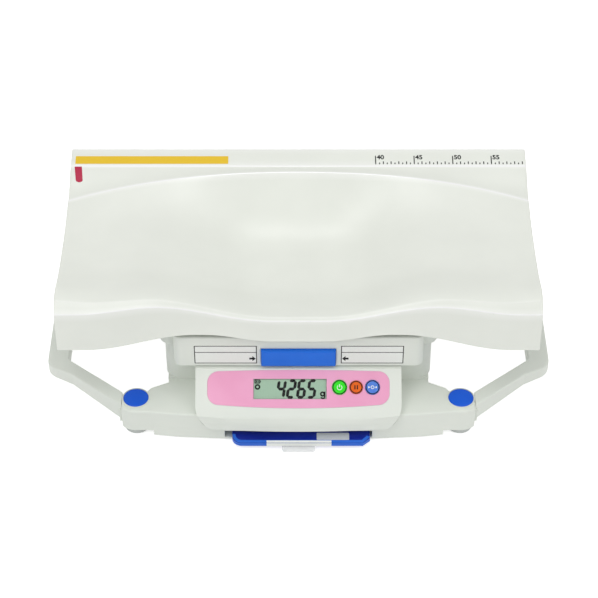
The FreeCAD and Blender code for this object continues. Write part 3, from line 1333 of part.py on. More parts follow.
def build_load_cell():
    """Aluminium bar with twin bores joined by a slit, bolted to a foot on its left, a head on its right."""
    front, back = "cell_setback - cell_half_width", "cell_setback + cell_half_width"
    bore_z = f"({CELL_BOTTOM} + cell_rise / 2)"
    bar = new_body("load_cell")
    plan = sketch(bar, at=("0", "0", CELL_BOTTOM))
    rectangle(plan, "-cell_half_length", "cell_half_length", front, back)
    pad(bar, plan, "cell_rise")
    for side in ("-", ""):
        bore = sketch(bar, "XZ_Plane", at=("0", "0", "-cell_setback"))
        circle(bore, f"{side}cell_bore_spread", bore_z, "cell_bore_radius")
        pocket(bar, bore, "3 * cell_half_width", middle=True)
    slit = sketch(bar, "XZ_Plane", at=("0", "0", "-cell_setback"))
    rectangle(slit, "-cell_bore_spread", "cell_bore_spread", f"{bore_z} - cell_slit", f"{bore_z} + cell_slit")
    pocket(bar, slit, "3 * cell_half_width", middle=True)
    for sign in ("-", ""):
        cut_bolt_holes(bar, sign, CELL_BOTTOM, "cell_rise")
    settle(bar, "load_cell")

    foot = new_body("load_cell_foot")
    plan = sketch(foot, at=("0", "0", CELL_FLOOR))
    rounded_rectangle(plan, "-cell_half_length - cell_foot_end", "-cell_half_length + 2 * cell_block_half",
                      f"{front} - cell_foot_margin", f"{back} + cell_foot_margin", "cell_foot_corner")
    pad(foot, plan, "cell_foot_rise")
    cut_bolt_holes(foot, "-", CELL_FLOOR, "cell_foot_rise")
    settle(foot, "load_cell_foot")

    head = new_body("load_cell_head")
    plan = sketch(head, at=("0", "0", CELL_TOP))
    rectangle(plan, "cell_half_length - 2 * cell_block_half", "cell_half_length", front, back)
    pad(head, plan, f"stiffener_height - {CELL_TOP}")
    cut_bolt_holes(head, "", CELL_TOP, "cell_hole_depth")
    settle(head, "load_cell_head")

    bolts = []
    for x in CELL_ENDS:
        bolts.append(fused([rod(f"-{x}", "cell_setback", CELL_FLOOR, CELL_TOP, "cell_bolt_radius"),
                            rod(f"-{x}", "cell_setback", CELL_TOP, f"{CELL_TOP} + cell_bolt_head_rise",
                                "cell_bolt_head")]))
        bolts.append(screw(x, "cell_setback", f"{CELL_BOTTOM} - cell_bolt_head_rise", "cell_bolt_head",
                           "cell_bolt_head_rise", f"{CELL_TOP} + cell_bolt_reach", "cell_bolt_radius"))
    group("load_cell_bolts", bolts)


# ---------------------------------------------------------------- batteries and their cover

def build_batteries():
    door = new_body("battery_cover")
    plan = sketch(door, at=("0", "0", "base_bottom"))
    rectangle(plan, "battery_left + door_gap", f"{BATTERY_RIGHT} - door_gap", "battery_front", "tail_back")
    pad(door, plan, "door_top - base_bottom - door_gap")
    tongues = sketch(door, at=("0", "0", "door_top - tongue_rise"))
    rectangle(tongues, "battery_left - door_tongue + door_gap", f"{BATTERY_RIGHT} + door_tongue - door_gap",
              "battery_front", "tail_back")
    pad(door, tongues, "tongue_sheet")
    grips = sketch(door, at=("0", "0", "base_bottom"))
    middle = f"((battery_left + {BATTERY_RIGHT}) / 2)"
    for index in range(6):
        front = f"(grip_start + {index} * grip_pitch)"
        rectangle(grips, f"{middle} - grip_half_width", f"{middle} + grip_half_width", front,
                  f"{front} + grip_groove")
    pocket(door, grips, "grip_depth")
    settle(door, "battery_cover")

    cells = []
    plates = []
    left = "(battery_left + contact_sheet + battery_gap)"
    pitch = "(2 * battery_radius + battery_gap)"
    for layer in range(2):
        z = f"(door_top + battery_gap + battery_radius + {layer} * {pitch})"
        for line in range(2):
            y = f"(battery_front + battery_gap + battery_radius + {line} * {pitch})"
            shoulder = f"{left} + battery_length - battery_tip_rise"
            can = lying_rod(y, z, left, shoulder, "battery_radius")
            tip = lying_rod(y, z, shoulder, f"{left} + battery_length", "battery_tip_radius")
            cells.append(fused([can, tip]))
    group("batteries", cells)
    plate_top = "door_top + 4 * battery_radius + 2 * battery_gap"
    for start in ("battery_left", f"{BATTERY_RIGHT} - contact_sheet"):
        plates.append(block(start, f"{start} + contact_sheet", "battery_front + contact_gap",
                            f"{BATTERY_BACK} - contact_gap", "door_top", plate_top))
    group("battery_contacts", plates)


# ---------------------------------------------------------------- stored height cursor

def build_cursor():
    cursor = new_body("height_cursor")
    plan = sketch(cursor, at=("0", "0", "cursor_bottom"))
    outline(plan, [
        ("cursor_left + cursor_round", "cursor_front"), ("cursor_right - cursor_cut_x", "cursor_front"),
        ("cursor_right", "cursor_front + cursor_cut_y"), ("cursor_right", "cursor_back"),
        ("cursor_left", "cursor_back"), ("cursor_left", "cursor_front + cursor_round", "cursor_round"),
    ])
    pad(cursor, plan, "cursor_top - cursor_bottom")
    slope = sketch(cursor, "YZ_Plane", at=("0", "0", "(cursor_left + cursor_right) / 2"))
    tip, heel, above = "cursor_front", "cursor_front + cursor_slope", "cursor_top + cursor_sheet"
    outline(slope, [(tip, "cursor_edge_top"), (heel, "cursor_top"), (heel, above),
                    (f"{tip} - cursor_sheet", above), (f"{tip} - cursor_sheet", "cursor_edge_top")])
    pocket(cursor, slope, "cursor_right - cursor_left + cursor_round", middle=True)
    under = sketch(cursor, at=("0", "0", "cursor_bottom"))
    rectangle(under, "cursor_left + cursor_side", "cursor_right - cursor_side", "cursor_front + cursor_fore",
              "cursor_back - cursor_rear")
    pocket(cursor, under, "cursor_top - cursor_bottom - cursor_sheet")
    settle(cursor, "height_cursor")

    tab = new_body("cursor_tab")
    plan = sketch(tab, at=("0", "0", "cursor_bottom - tab_sheet"))
    rounded_rectangle(plan, "-tab_half_width", "tab_half_width", "tab_front", "bow_front - tab_root",
                      "tab_corner")
    pad(tab, plan, "tab_sheet")
    settle(tab, "cursor_tab")


build_tray()
build_tray_mount()
build_tray_screws()
build_platform()
build_platform_plate()
build_lever()
build_lower_case()
build_upper_case()
build_case_screws()
build_side(-1, "left")
build_side(1, "right")
build_pod()
build_panel()
build_display()
build_board()
build_keys()
build_load_cell()
build_batteries()
build_cursor()

doc.recompute()
os.makedirs("parts", exist_ok=True)
for item in doc.Objects:
    if {"Invalid", "Error"} & set(item.State):
        raise ValueError(f"{item.Label} failed: {item.State}")
for item in nodes:
    if item.Shape.isNull() or not item.Shape.isValid():
        raise ValueError(f"{item.Label} has no valid shape")
for item in nodes:
    item.Shape.exportStep(f"parts/{item.Label}.step")
    print(f"{item.Label:22s} {len(item.Shape.Solids)} solids {item.Shape.Volume:12.0f} mm3")
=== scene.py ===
"""Looks of the baby weighing scale: smooth moulded shells, printed marks, display, keys, studio.

Everything is in metres in the frame's own axes: +X right, +Y back, +Z up, floor at Z = 0.
"""
import math

import bmesh
import bpy
import numpy
from mathutils import Matrix, Vector


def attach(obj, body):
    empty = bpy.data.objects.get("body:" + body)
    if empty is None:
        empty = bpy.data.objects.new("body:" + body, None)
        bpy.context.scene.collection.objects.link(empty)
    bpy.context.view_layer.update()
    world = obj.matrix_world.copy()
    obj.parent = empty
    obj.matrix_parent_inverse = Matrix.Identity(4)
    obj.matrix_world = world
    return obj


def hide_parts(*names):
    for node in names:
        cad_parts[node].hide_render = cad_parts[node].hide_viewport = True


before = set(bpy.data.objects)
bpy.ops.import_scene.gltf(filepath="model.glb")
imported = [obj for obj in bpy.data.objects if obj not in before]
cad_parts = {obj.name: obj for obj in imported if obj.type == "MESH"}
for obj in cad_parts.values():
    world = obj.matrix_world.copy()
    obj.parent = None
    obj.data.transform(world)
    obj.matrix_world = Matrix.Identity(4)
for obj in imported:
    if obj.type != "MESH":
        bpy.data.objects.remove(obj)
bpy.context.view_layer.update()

MM = 0.001
SETBACK = 110                 # the tray's front plane lies this far in front of the origin, in mm
FACE_TILT = math.radians(42)  # tilt of the display face


# ---------------------------------------------------------------- colours and nodes

def ink(code, alpha=1.0):
    """Linear colour of an sRGB hex value."""
    shades = [int(code[place:place + 2], 16) / 255 for place in (1, 3, 5)]
    return [s / 12.92 if s <= 0.04045 else ((s + 0.055) / 1.055) ** 2.4 for s in shades] + [alpha]


def add(tree, kind, sockets=None, **settings):
    """Adds a node; settings are its properties, sockets its input values or what feeds them."""
    made = tree.nodes.new(kind)
    for name, value in settings.items():
        setattr(made, name, value)
    for name, value in (sockets or {}).items():
        if isinstance(value, bpy.types.NodeSocket):
            tree.links.new(value, made.inputs[name])
        else:
            made.inputs[name].default_value = value
    return made


def surface(name, **sockets):
    """New material with a Principled shader; returns it with its tree and shader."""
    made = bpy.data.materials.new(name)
    made.use_nodes = True
    shader = made.node_tree.nodes["Principled BSDF"]
    for socket, value in sockets.items():
        shader.inputs[socket.replace("_", " ")].default_value = value
    return made, made.node_tree, shader


def pattern(tree, size_mm, detail=2.0, roughness=0.5, stretch=(1, 1, 1)):
    """Noise whose features are about size_mm across, on object coordinates."""
    place = add(tree, "ShaderNodeTexCoord").outputs["Object"]
    turned = add(tree, "ShaderNodeMapping", {"Vector": place, "Scale": stretch})
    return add(tree, "ShaderNodeTexNoise", {
        "Vector": turned.outputs["Vector"], "Scale": 1 / (size_mm * MM),
        "Detail": detail, "Roughness": roughness,
    }).outputs["Fac"]


def spread(tree, source, low, high):
    """The middle of a noise value's range spread from low to high."""
    return add(tree, "ShaderNodeMapRange", {
        "Value": source, "From Min": 0.3, "From Max": 0.7, "To Min": low, "To Max": high,
    }).outputs["Result"]


def tinted(tree, source, light, dark):
    """Colour that wanders between two near shades."""
    ramp = add(tree, "ShaderNodeMix", {"Factor": source, "A": ink(dark), "B": ink(light)}, data_type="RGBA")
    return ramp.outputs["Result"]


def coloured(tree, shader, noise, light, dark):
    """Base colour that follows a noise value between two near shades."""
    tree.links.new(tinted(tree, spread(tree, noise, 0, 1), light, dark), shader.inputs["Base Color"])


def burnished(tree, shader, noise, low, high):
    """Roughness that follows a noise value from low to high."""
    tree.links.new(spread(tree, noise, low, high), shader.inputs["Roughness"])


def grained(tree, shader, height, depth_mm, strength):
    """Bump of a given depth from a height value."""
    relief = add(tree, "ShaderNodeBump", {
        "Height": height, "Distance": depth_mm * MM, "Strength": strength,
    })
    tree.links.new(relief.outputs["Normal"], shader.inputs["Normal"])


# ---------------------------------------------------------------- materials

# Grain finer than half a millimetre is drawn coarser than the real one, so that it shows.

def moulded_abs(name, light, dark, grain_mm, rough, bump, gloss=0.5):
    """Injection-moulded ABS: even colour with faint flow marks, a fine tool texture and a soft shine."""
    made, tree, shader = surface(name, IOR=1.53, Specular_IOR_Level=gloss)
    coloured(tree, shader, pattern(tree, 70, 3), light, dark)
    grain = pattern(tree, grain_mm, 3, 0.6)
    burnished(tree, shader, grain, rough - 0.04, rough + 0.05)
    grained(tree, shader, grain, 0.05, bump)
    return made


def printed_film(name, light, dark):
    """Screen-printed polycarbonate film: print under a hard coat with a fine velvet texture."""
    made, tree, shader = surface(name, IOR=1.58, Coat_Weight=0.35, Coat_Roughness=0.22, Coat_IOR=1.5)
    coloured(tree, shader, pattern(tree, 45, 2), light, dark)
    velvet = pattern(tree, 0.9, 2)
    burnished(tree, shader, velvet, 0.36, 0.46)
    grained(tree, shader, velvet, 0.02, 0.25)
    return made


def silicone_key(name, light, dark):
    """Moulded silicone key: slightly cloudy colour, smooth dome with a sleek touch coat."""
    made, tree, shader = surface(name, IOR=1.41, Subsurface_Weight=0.08, Subsurface_Scale=0.002,
                                 Coat_Weight=0.2, Coat_Roughness=0.15, Specular_IOR_Level=0.3)
    coloured(tree, shader, pattern(tree, 5, 2), light, dark)
    burnished(tree, shader, pattern(tree, 1.2), 0.3, 0.38)
    return made


def foot_rubber():
    """Moulded grey rubber: dull, with a fine dusty grain."""
    made, tree, shader = surface("foot_moulded_rubber", IOR=1.52)
    dust = pattern(tree, 1.6, 4, 0.7)
    coloured(tree, shader, dust, "#CDD1CE", "#BCC1BE")
    burnished(tree, shader, dust, 0.7, 0.85)
    grained(tree, shader, dust, 0.08, 0.4)
    return made


def sheet_metal(name, light, dark, rough, grain_mm, stretch=(1, 1, 1)):
    """Bare or plated metal: grain of the milling or zinc crystals in its shine."""
    made, tree, shader = surface(name, Metallic=1.0)
    grain = pattern(tree, grain_mm, 3, 0.6, stretch)
    coloured(tree, shader, grain, light, dark)
    burnished(tree, shader, grain, rough - 0.06, rough + 0.08)
    grained(tree, shader, grain, 0.02, 0.2)
    return made


def printed_ink(name, light, dark, rough=0.5, gloss=0.5):
    """Screen ink or vinyl film on plastic: flat colour with pin-sized unevenness."""
    made, tree, shader = surface(name, IOR=1.5, Specular_IOR_Level=gloss)
    cover = pattern(tree, 0.7, 3)
    coloured(tree, shader, cover, light, dark)
    burnished(tree, shader, cover, rough - 0.05, rough + 0.08)
    return made


def display_glass():
    """Reflective liquid crystal cell: grey-green polariser with the faint rows of its electrodes."""
    made, tree, shader = surface("display_polariser", IOR=1.5)
    place = add(tree, "ShaderNodeTexCoord").outputs["Object"]
    rows = add(tree, "ShaderNodeTexWave", {"Vector": place, "Scale": 1 / (6.5 * MM), "Distortion": 0.0},
               wave_type="BANDS", bands_direction="X")
    tree.links.new(tinted(tree, rows.outputs["Fac"], "#A4C4AA", "#9FC0A5"), shader.inputs["Base Color"])
    burnished(tree, shader, pattern(tree, 8), 0.3, 0.4)
    return made


def clear_pane(name, tone, alpha, rough, gloss):
    """Clear sheet seen through, with its own gloss and a faint haze."""
    made, tree, shader = surface(name, IOR=1.49, Alpha=alpha, Specular_IOR_Level=gloss)
    haze = pattern(tree, 12)
    coloured(tree, shader, haze, tone, tone)
    burnished(tree, shader, haze, rough, rough + 0.05)
    return made


def battery_jacket():
    """Shrink film on a dry cell: dark band and a metallic band, printed in plain rings along X."""
    made, tree, shader = surface("battery_shrink_film", IOR=1.5, Metallic=0.4)
    place = add(tree, "ShaderNodeTexCoord").outputs["Object"]
    along = add(tree, "ShaderNodeSeparateXYZ", {"Vector": place}).outputs["X"]
    metallic_from = 76 * MM
    band = add(tree, "ShaderNodeMath", {0: along, 1: metallic_from}, operation="GREATER_THAN")
    tree.links.new(tinted(tree, band.outputs["Value"], "#B9803A", "#2B2D30"), shader.inputs["Base Color"])
    burnished(tree, shader, pattern(tree, 3), 0.3, 0.4)
    return made


def polished_corners_painted_white(material):
    """Polishes a material where a mesh's attribute says that a corner bends, and paints it white there as a
    painted highlight.
    """
    tree = material.node_tree
    shader = tree.nodes["Principled BSDF"]
    bend = add(tree, "ShaderNodeAttribute", attribute_name="edge_painted_highlight").outputs["Fac"]
    # the white base colour at the corners is a painted highlight; low roughness, full specular level and no
    # bump are their polish
    for name, kind, polish_and_highlight in (("Base Color", "RGBA", (1, 1, 1, 1)), ("Roughness", "FLOAT", 0.18)):
        socket = shader.inputs[name]
        plain = socket.links[0].from_socket
        mixed = add(tree, "ShaderNodeMix", {"Factor": bend, "A": plain, "B": polish_and_highlight}, data_type=kind)
        tree.links.new(mixed.outputs["Result"], socket)
    relief = shader.inputs["Normal"].links[0].from_node
    for socket, polish_and_highlight in ((shader.inputs["Specular IOR Level"], 1.0), (relief.inputs["Strength"], 0.0)):
        plain = socket.default_value
        mixed = add(tree, "ShaderNodeMapRange", {"Value": bend, "To Min": plain, "To Max": polish_and_highlight})
        tree.links.new(mixed.outputs["Result"], socket)
    return material


# tray plastic whose bent corners are polished and also painted white as a highlight
TRAY = polished_corners_painted_white(moulded_abs("tray_abs_painted_edge_highlight", "#EBEEE6", "#E7EAE2", 2.2, 0.34, 0.04))
CASE = moulded_abs("case_spark_eroded_abs", "#E6EAE2", "#E1E6DE", 0.7, 0.46, 0.12)
LEVER = moulded_abs("lever_dyed_abs", "#156FE3", "#1068D9", 0.8, 0.4, 0.1, 0.28)
CAP = moulded_abs("cap_dyed_abs", "#105FE2", "#0C58D6", 0.8, 0.34, 0.08, 0.28)
CURSOR = moulded_abs("cursor_dyed_abs", "#001F92", "#001B87", 0.8, 0.36, 0.08, 0.28)
# lighter blue of the cursor's moulding, a painted highlight along its rounded front edge
CURSOR_PAINTED_HIGHLIGHT = moulded_abs("cursor_abs_painted_edge_highlight", "#2469D9", "#1E61CD", 0.8, 0.36, 0.08, 0.28)
PANEL = printed_film("panel_printed_polycarbonate", "#F3A9CD", "#EFA0C6")
KEY_GREEN = silicone_key("key_green_silicone", "#38EE28", "#2CE21C")
KEY_ORANGE = silicone_key("key_orange_silicone", "#EE6A14", "#E25E0A")
KEY_BLUE = silicone_key("key_blue_silicone", "#5A8AE4", "#4C7CD8")
DISPLAY = display_glass()
WINDOW = clear_pane("window_cast_acrylic", "#F2F6F2", 0.012, 0.05, 0.5)
TAB = clear_pane("tab_smoked_polycarbonate", "#E6E9E9", 0.42, 0.2, 0.5)
RUBBER = foot_rubber()
BLACK_INK = printed_ink("ruler_screen_ink", "#1A1B1E", "#121315", 0.6, 0.2)
SEGMENT = printed_ink("display_segments", "#0A0F0C", "#070A08", 0.6, 0.1)
YELLOW = printed_ink("strip_yellow_vinyl", "#ECC62A", "#E6BE22", 0.4)
RED = printed_ink("mark_red_vinyl", "#BC1C48", "#B21640", 0.4)
LABEL = printed_ink("label_white_paper", "#F2F5F0", "#ECEFEA", 0.55)
SILVER = printed_ink("label_silver_foil", "#C6CAD0", "#BABEC4", 0.35)
SCREW = sheet_metal("screw_zinc_plate", "#C6CACC", "#B4B8BA", 0.3, 1.5)
PLATE = sheet_metal("plate_galvanised_steel", "#C4C8CA", "#AEB3B6", 0.42, 9)
MILLED = sheet_metal("cell_milled_aluminium", "#D0D3D6", "#C2C6CA", 0.32, 1.2, (0.05, 1, 1))
PIN = sheet_metal("pin_ground_steel", "#CDD0D2", "#C0C4C7", 0.2, 0.8, (1, 1, 0.1))
CONTACT = sheet_metal("contact_nickel_plate", "#D6D4CC", "#C8C6BE", 0.25, 2)
BOARD = printed_ink("board_solder_resist", "#2F7049", "#28633F", 0.35)
SWITCH = printed_ink("switch_thermoset", "#242629", "#1B1D1F", 0.45)
NYLON = moulded_abs("washer_natural_nylon", "#ECE8DA", "#E5E0D0", 0.8, 0.4, 0.1)
JACKET = battery_jacket()


# ---------------------------------------------------------------- places

def from_front(x, y, z):
    """Point given in mm with Y measured from the tray's front plane."""
    return Vector((x, y - SETBACK, z)) * MM


def upright(y):
    """Frame of a vertical face that looks to the front, at y mm from the front plane."""
    return Matrix.Translation(from_front(0, y, 0)) @ Matrix.Rotation(math.radians(90), 4, "X")


BROW = (-37.5, 53.1)   # lower edge of the tilted face: from the front plane and height, mm
FACE_MIDDLE = 26.7     # middle of the face, up its slope
FACE = (Matrix.Translation(from_front(0, BROW[0] + FACE_MIDDLE * math.cos(FACE_TILT),
                                      BROW[1] + FACE_MIDDLE * math.sin(FACE_TILT)))
        @ Matrix.Rotation(FACE_TILT, 4, "X"))


# ---------------------------------------------------------------- pieces

def make_piece(name, mesh, material, body, replaced=()):
    """Object at the origin with one material, riding on a body; prints have no slot of the record's."""
    mesh.materials.clear()
    mesh.materials.append(material)
    made = bpy.data.objects.new(name, mesh)
    bpy.context.collection.objects.link(made)
    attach(made, body)
    if replaced:
        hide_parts(*replaced)


def baked(holder):
    """Plain mesh of an object with its modifiers applied; the object is removed."""
    bpy.context.view_layer.update()
    graph = bpy.context.evaluated_depsgraph_get()
    mesh = bpy.data.meshes.new_from_object(holder.evaluated_get(graph), depsgraph=graph)
    mesh.name = holder.name
    bpy.data.objects.remove(holder)
    return mesh


def mesh_of(name, corners, faces):
    """Mesh of given corners, in metres, and faces."""
    mesh = bpy.data.meshes.new(name)
    mesh.from_pydata([tuple(corner) for corner in corners], [], faces)
    mesh.validate()
    return mesh


def smoothed(mesh, angle=40):
    """The mesh shaded smooth, apart from edges that bend more than an angle in degrees."""
    mesh.shade_smooth()
    mesh.set_sharp_from_angle(angle=math.radians(angle))
    return mesh


def turned_outward(mesh):
    """The mesh with every face pointing outwards."""
    form = bmesh.new()
    form.from_mesh(mesh)
    bmesh.ops.recalc_face_normals(form, faces=form.faces)
    form.to_mesh(mesh)
    form.free()
    return mesh


BROAD_FACED = ("base_lower_case", "base_upper_case")   # their large flat faces are rounded uncut
WELD = 0.002             # corners nearer than this become one, mm
FLAT_ANGLE = 0.6         # faces that bend less than this become one, degrees
SHARP_ANGLE = 34         # edges that bend more than this are rounded, degrees
CRISP_SHARE = 0.1        # what a crisp edge keeps of the rounding
ROUND_STEPS = 3


def rounded_node(node, edge_mm, material, body, slot, crisp):
    """A CAD node's shape as one closed mesh with its sharp edges rounded, in the node's place.
    Where a crisp test is given, the edges that it picks by their middle are hardly rounded."""
    mesh = bpy.data.meshes.new(node + "_shape")
    form = bmesh.new()
    form.from_mesh(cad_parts[node].data)
    bmesh.ops.remove_doubles(form, verts=form.verts, dist=WELD * MM)
    bmesh.ops.dissolve_limit(form, angle_limit=math.radians(FLAT_ANGLE), verts=form.verts, edges=form.edges)
    if node not in BROAD_FACED:
        bmesh.ops.connect_verts_concave(form, faces=[face for face in form.faces if len(face.verts) > 4])
    weight = form.edges.layers.float.new("bevel_weight_edge")
    for edge in form.edges:
        if edge.calc_face_angle(0) > math.radians(SHARP_ANGLE):
            middle = (edge.verts[0].co + edge.verts[1].co) / 2
            edge[weight] = CRISP_SHARE if crisp and crisp(middle) else 1.0
    form.to_mesh(mesh)
    form.free()
    mesh.shade_smooth()
    holder = bpy.data.objects.new(node + "_holder", mesh)
    bpy.context.collection.objects.link(holder)
    bevel = holder.modifiers.new("rounding", "BEVEL")
    bevel.width = edge_mm * MM
    bevel.segments = ROUND_STEPS
    bevel.limit_method = "WEIGHT"
    bevel.miter_outer = "MITER_ARC"
    bevel.use_clamp_overlap = True
    weighted = holder.modifiers.new("normals", "WEIGHTED_NORMAL")
    weighted.weight = 50
    weighted.keep_sharp = True
    make_piece(node + "_moulded", baked(holder), material, body, (node,))


def round_rect(left, right, low, high, radius, steps=6):
    """Outline of a rectangle with round corners, counter-clockwise, in mm."""
    if not radius:
        return [(left, low), (right, low), (right, high), (left, high)]
    points = []
    for x, y, start in ((right - radius, low + radius, -90), (right - radius, high - radius, 0),
                        (left + radius, high - radius, 90), (left + radius, low + radius, 180)):
        for step in range(steps + 1):
            turn = math.radians(start + 90 * step / steps)
            points.append((x + radius * math.cos(turn), y + radius * math.sin(turn)))
    return points


def arc_band(x, y, outer, inner, start=0, end=360, steps=40):
    """Outlines, in mm, that together cover a ring or a part of one between two angles in degrees."""
    bands = []
    half = (end - start) / 2
    for first in (start, start + half):
        turns = [math.radians(first + half * step / steps) for step in range(steps + 1)]
        band = [(x + outer * math.cos(turn), y + outer * math.sin(turn)) for turn in turns]
        band += [(x + inner * math.cos(turn), y + inner * math.sin(turn)) for turn in reversed(turns)]
        bands.append(band)
    return bands


def frame_bars(left, right, low, high, width):
    """Four thin outlines along the sides of a rectangle."""
    return [round_rect(left, right, low, low + width, 0), round_rect(left, right, high - width, high, 0),
            round_rect(left, left + width, low, high, 0), round_rect(right - width, right, low, high, 0)]


def printed(name, outlines, place, material, body, base_mm=0.0, thickness_mm=0.06):
    """One print or label: outlines in mm in a frame, with a thickness along the frame's Z."""
    corners, faces = [], []
    for outline in outlines:
        first, count = len(corners), len(outline)
        for z in (base_mm * MM, (base_mm + thickness_mm) * MM):
            corners += [place @ Vector((x * MM, y * MM, z)) for x, y in outline]
        faces.append(tuple(first + index for index in range(count - 1, -1, -1)))
        faces.append(tuple(first + count + index for index in range(count)))
        for index in range(count):
            after = (index + 1) % count
            faces.append((first + index, first + after, first + count + after, first + count + index))
    make_piece(name, mesh_of(name, corners, faces), material, body)


def swept(name, sections, material, body):
    """Closed strip through sections of four corners each, given in metres."""
    corners = [corner for section in sections for corner in section]
    faces = [(3, 2, 1, 0)]
    for first in range(0, len(corners) - 4, 4):
        for side in range(4):
            after = (side + 1) % 4
            faces.append((first + side, first + after, first + 4 + after, first + 4 + side))
    last = len(corners) - 4
    faces.append((last, last + 1, last + 2, last + 3))
    make_piece(name, turned_outward(mesh_of(name, corners, faces)), material, body)


# ---------------------------------------------------------------- tray

# Sizes in mm, setbacks from the front plane and heights from the floor. A pair holds the values at the tray's
# middle and ends; a span holds the distances from the middle between which the line rises or falls.
TRAY_HALF = 295
TRAY_WALL = 3
END_LIP = 9                             # turned-down lip at both ends
REAR_LIP = 10                           # turned-down lip behind the flange
RIM = (281, 216.8)                      # top of the rear edge: setback and height
FLANGE_RUN, FLANGE_FALL = 28, 7.2       # ruler flange, and how far it falls to the front
FLANGE_EDGE = (RIM[0] - FLANGE_RUN, RIM[1] - FLANGE_FALL)
SLOPE_RUN, SLOPE_FALL = (2, 12), (1.2, 3.2)             # gutter's first slope, in front of the flange
GUTTER_WIDTH, GUTTER_DIP = (5.2, 13), 0.8               # gutter's bottom behind and under the crest
CREST_SETBACK, CREST_HEIGHT = (240, 201), (210, 193.5)
HEEL_SETBACK, BED_HEIGHT = (184, 158), (148, 186)       # foot of the back wall
SCOOP_SPAN = (45, 185)
EDGE_HEIGHT, EDGE_RISE, EDGE_FALL = 169.4, 23, 12.4     # front rim's edge line, which rises and falls again
EDGE_RISE_SPAN, EDGE_FALL_SPAN = (30, 175), (166, 270)
BAND_WIDTH = (4.4, 17.5)                                # slanted band behind the front rim's edge
BAND_TILT = math.radians(43)
APRON_HEIGHT, HUMP_HEIGHT = (139, 124.4), 150           # apron's lower edge and its humps
HUMP_RISE_SPAN, HUMP_FALL_SPAN = (30, 115), (125, 260)
APRON_FLARE = 3

# Control points as shares of the way and of the rise between two others; the ridge in widths of the band.
BACK_WALL = (0.5, 0.52)
BED = ((0.3, 0), (0.62, 0.08), (0.8, 0.72))
RIDGE = (0.75, 0.22)
APRON_MIDDLE = (0.3, 0.66)


def ease(distance, start, end):
    """0 before start, 1 after end and a cosine rise between."""
    share = min(max((distance - start) / (end - start), 0), 1)
    return (1 - math.cos(math.pi * share)) / 2


def mix(low, high, share):
    """Value that lies a share of the way from low to high."""
    return low + (high - low) * share


def tray_section(x):
    """The tray's outer line at x as runs (degree, control points), from the rear lip to the apron's edge."""
    out = abs(x)
    reach = (out / TRAY_HALF) ** 2
    crest = (mix(*CREST_SETBACK, reach), mix(*CREST_HEIGHT, reach ** 1.5))
    heel = (mix(*HEEL_SETBACK, reach), mix(*BED_HEIGHT, ease(out, *SCOOP_SPAN)))
    edge_z = EDGE_HEIGHT + EDGE_RISE * ease(out, *EDGE_RISE_SPAN) - EDGE_FALL * ease(out, *EDGE_FALL_SPAN)
    band = mix(*BAND_WIDTH, reach)
    crease = (band * math.cos(BAND_TILT), edge_z + band * math.sin(BAND_TILT))
    ridge = (crease[0] + RIDGE[0] * band, crease[1] + RIDGE[1] * band)
    if out < HUMP_FALL_SPAN[0]:
        apron_z = mix(APRON_HEIGHT[0], HUMP_HEIGHT, ease(out, *HUMP_RISE_SPAN))
    else:
        apron_z = mix(HUMP_HEIGHT, APRON_HEIGHT[1], ease(out, *HUMP_FALL_SPAN))
    slope_foot = (FLANGE_EDGE[0] - mix(*SLOPE_RUN, reach), FLANGE_EDGE[1] - mix(*SLOPE_FALL, reach))
    gutter = (crest[0] + mix(*GUTTER_WIDTH, reach), crest[1] - GUTTER_DIP)
    back_wall = (mix(crest[0], heel[0], BACK_WALL[0]), mix(crest[1], heel[1], BACK_WALL[1]))
    bed = [(mix(heel[0], crease[0], way), mix(heel[1], ridge[1], rise)) for way, rise in BED]
    apron = (-APRON_MIDDLE[0] * APRON_FLARE, mix(edge_z, apron_z, APRON_MIDDLE[1]))
    return [
        (1, [(RIM[0], RIM[1] - REAR_LIP), RIM]),
        (1, [RIM, FLANGE_EDGE]),
        (2, [FLANGE_EDGE, slope_foot, gutter, crest]),
        (3, [crest, back_wall, heel] + bed + [ridge, crease]),
        (1, [crease, (0, edge_z)]),
        (2, [(0, edge_z), apron, (-APRON_FLARE, apron_z)]),
    ]


def spline_weights(poles, degree, samples):
    """Weights of each control point at even steps along a clamped spline."""
    knots = [0] * degree + list(range(poles - degree + 1)) + [poles - degree] * degree
    rows = []
    for step in range(samples + 1):
        at = min(step / samples * (poles - degree), poles - degree - 1e-9)
        basis = [1.0 if knots[i] <= at < knots[i + 1] else 0.0 for i in range(len(knots) - 1)]
        for order in range(1, degree + 1):
            lifted = []
            for i in range(len(basis) - 1):
                left = knots[i + order] - knots[i]
                right = knots[i + order + 1] - knots[i + 1]
                value = basis[i] * (at - knots[i]) / left if left else 0.0
                if right:
                    value += basis[i + 1] * (knots[i + order + 1] - at) / right
                lifted.append(value)
            basis = lifted
        rows.append(basis)
    return numpy.array(rows)


SAMPLES = (1, 3, 9, 60, 2, 6)           # steps along each run of the section
SOFTNESS = (1.5, 2.4, 1.5, 1.6, 2.0)    # rounding between the runs, mm
SOFT_REACH = (0.9, 1.6, 1.2, 0.9, 0.9)  # each rounding reaches at least this far each way, mm
CORNER_POLISH_AND_HIGHLIGHT = (1.0, 1.0, 1.0, 0.12, 1.0)      # how brightly each rounding is polished and painted white as a highlight
ARC_POLISH_AND_HIGHLIGHT = (0.3, 1, 1, 1, 0.3)         # and how brightly each point along it
ARC_STEPS = len(ARC_POLISH_AND_HIGHLIGHT) - 1
FIRST_STEP = 0.05                       # an end lip's inner line starts this far under the flange, mm
WEIGHTS = [spline_weights(len(points), degree, samples)
           for (degree, points), samples in zip(tray_section(0), SAMPLES)]


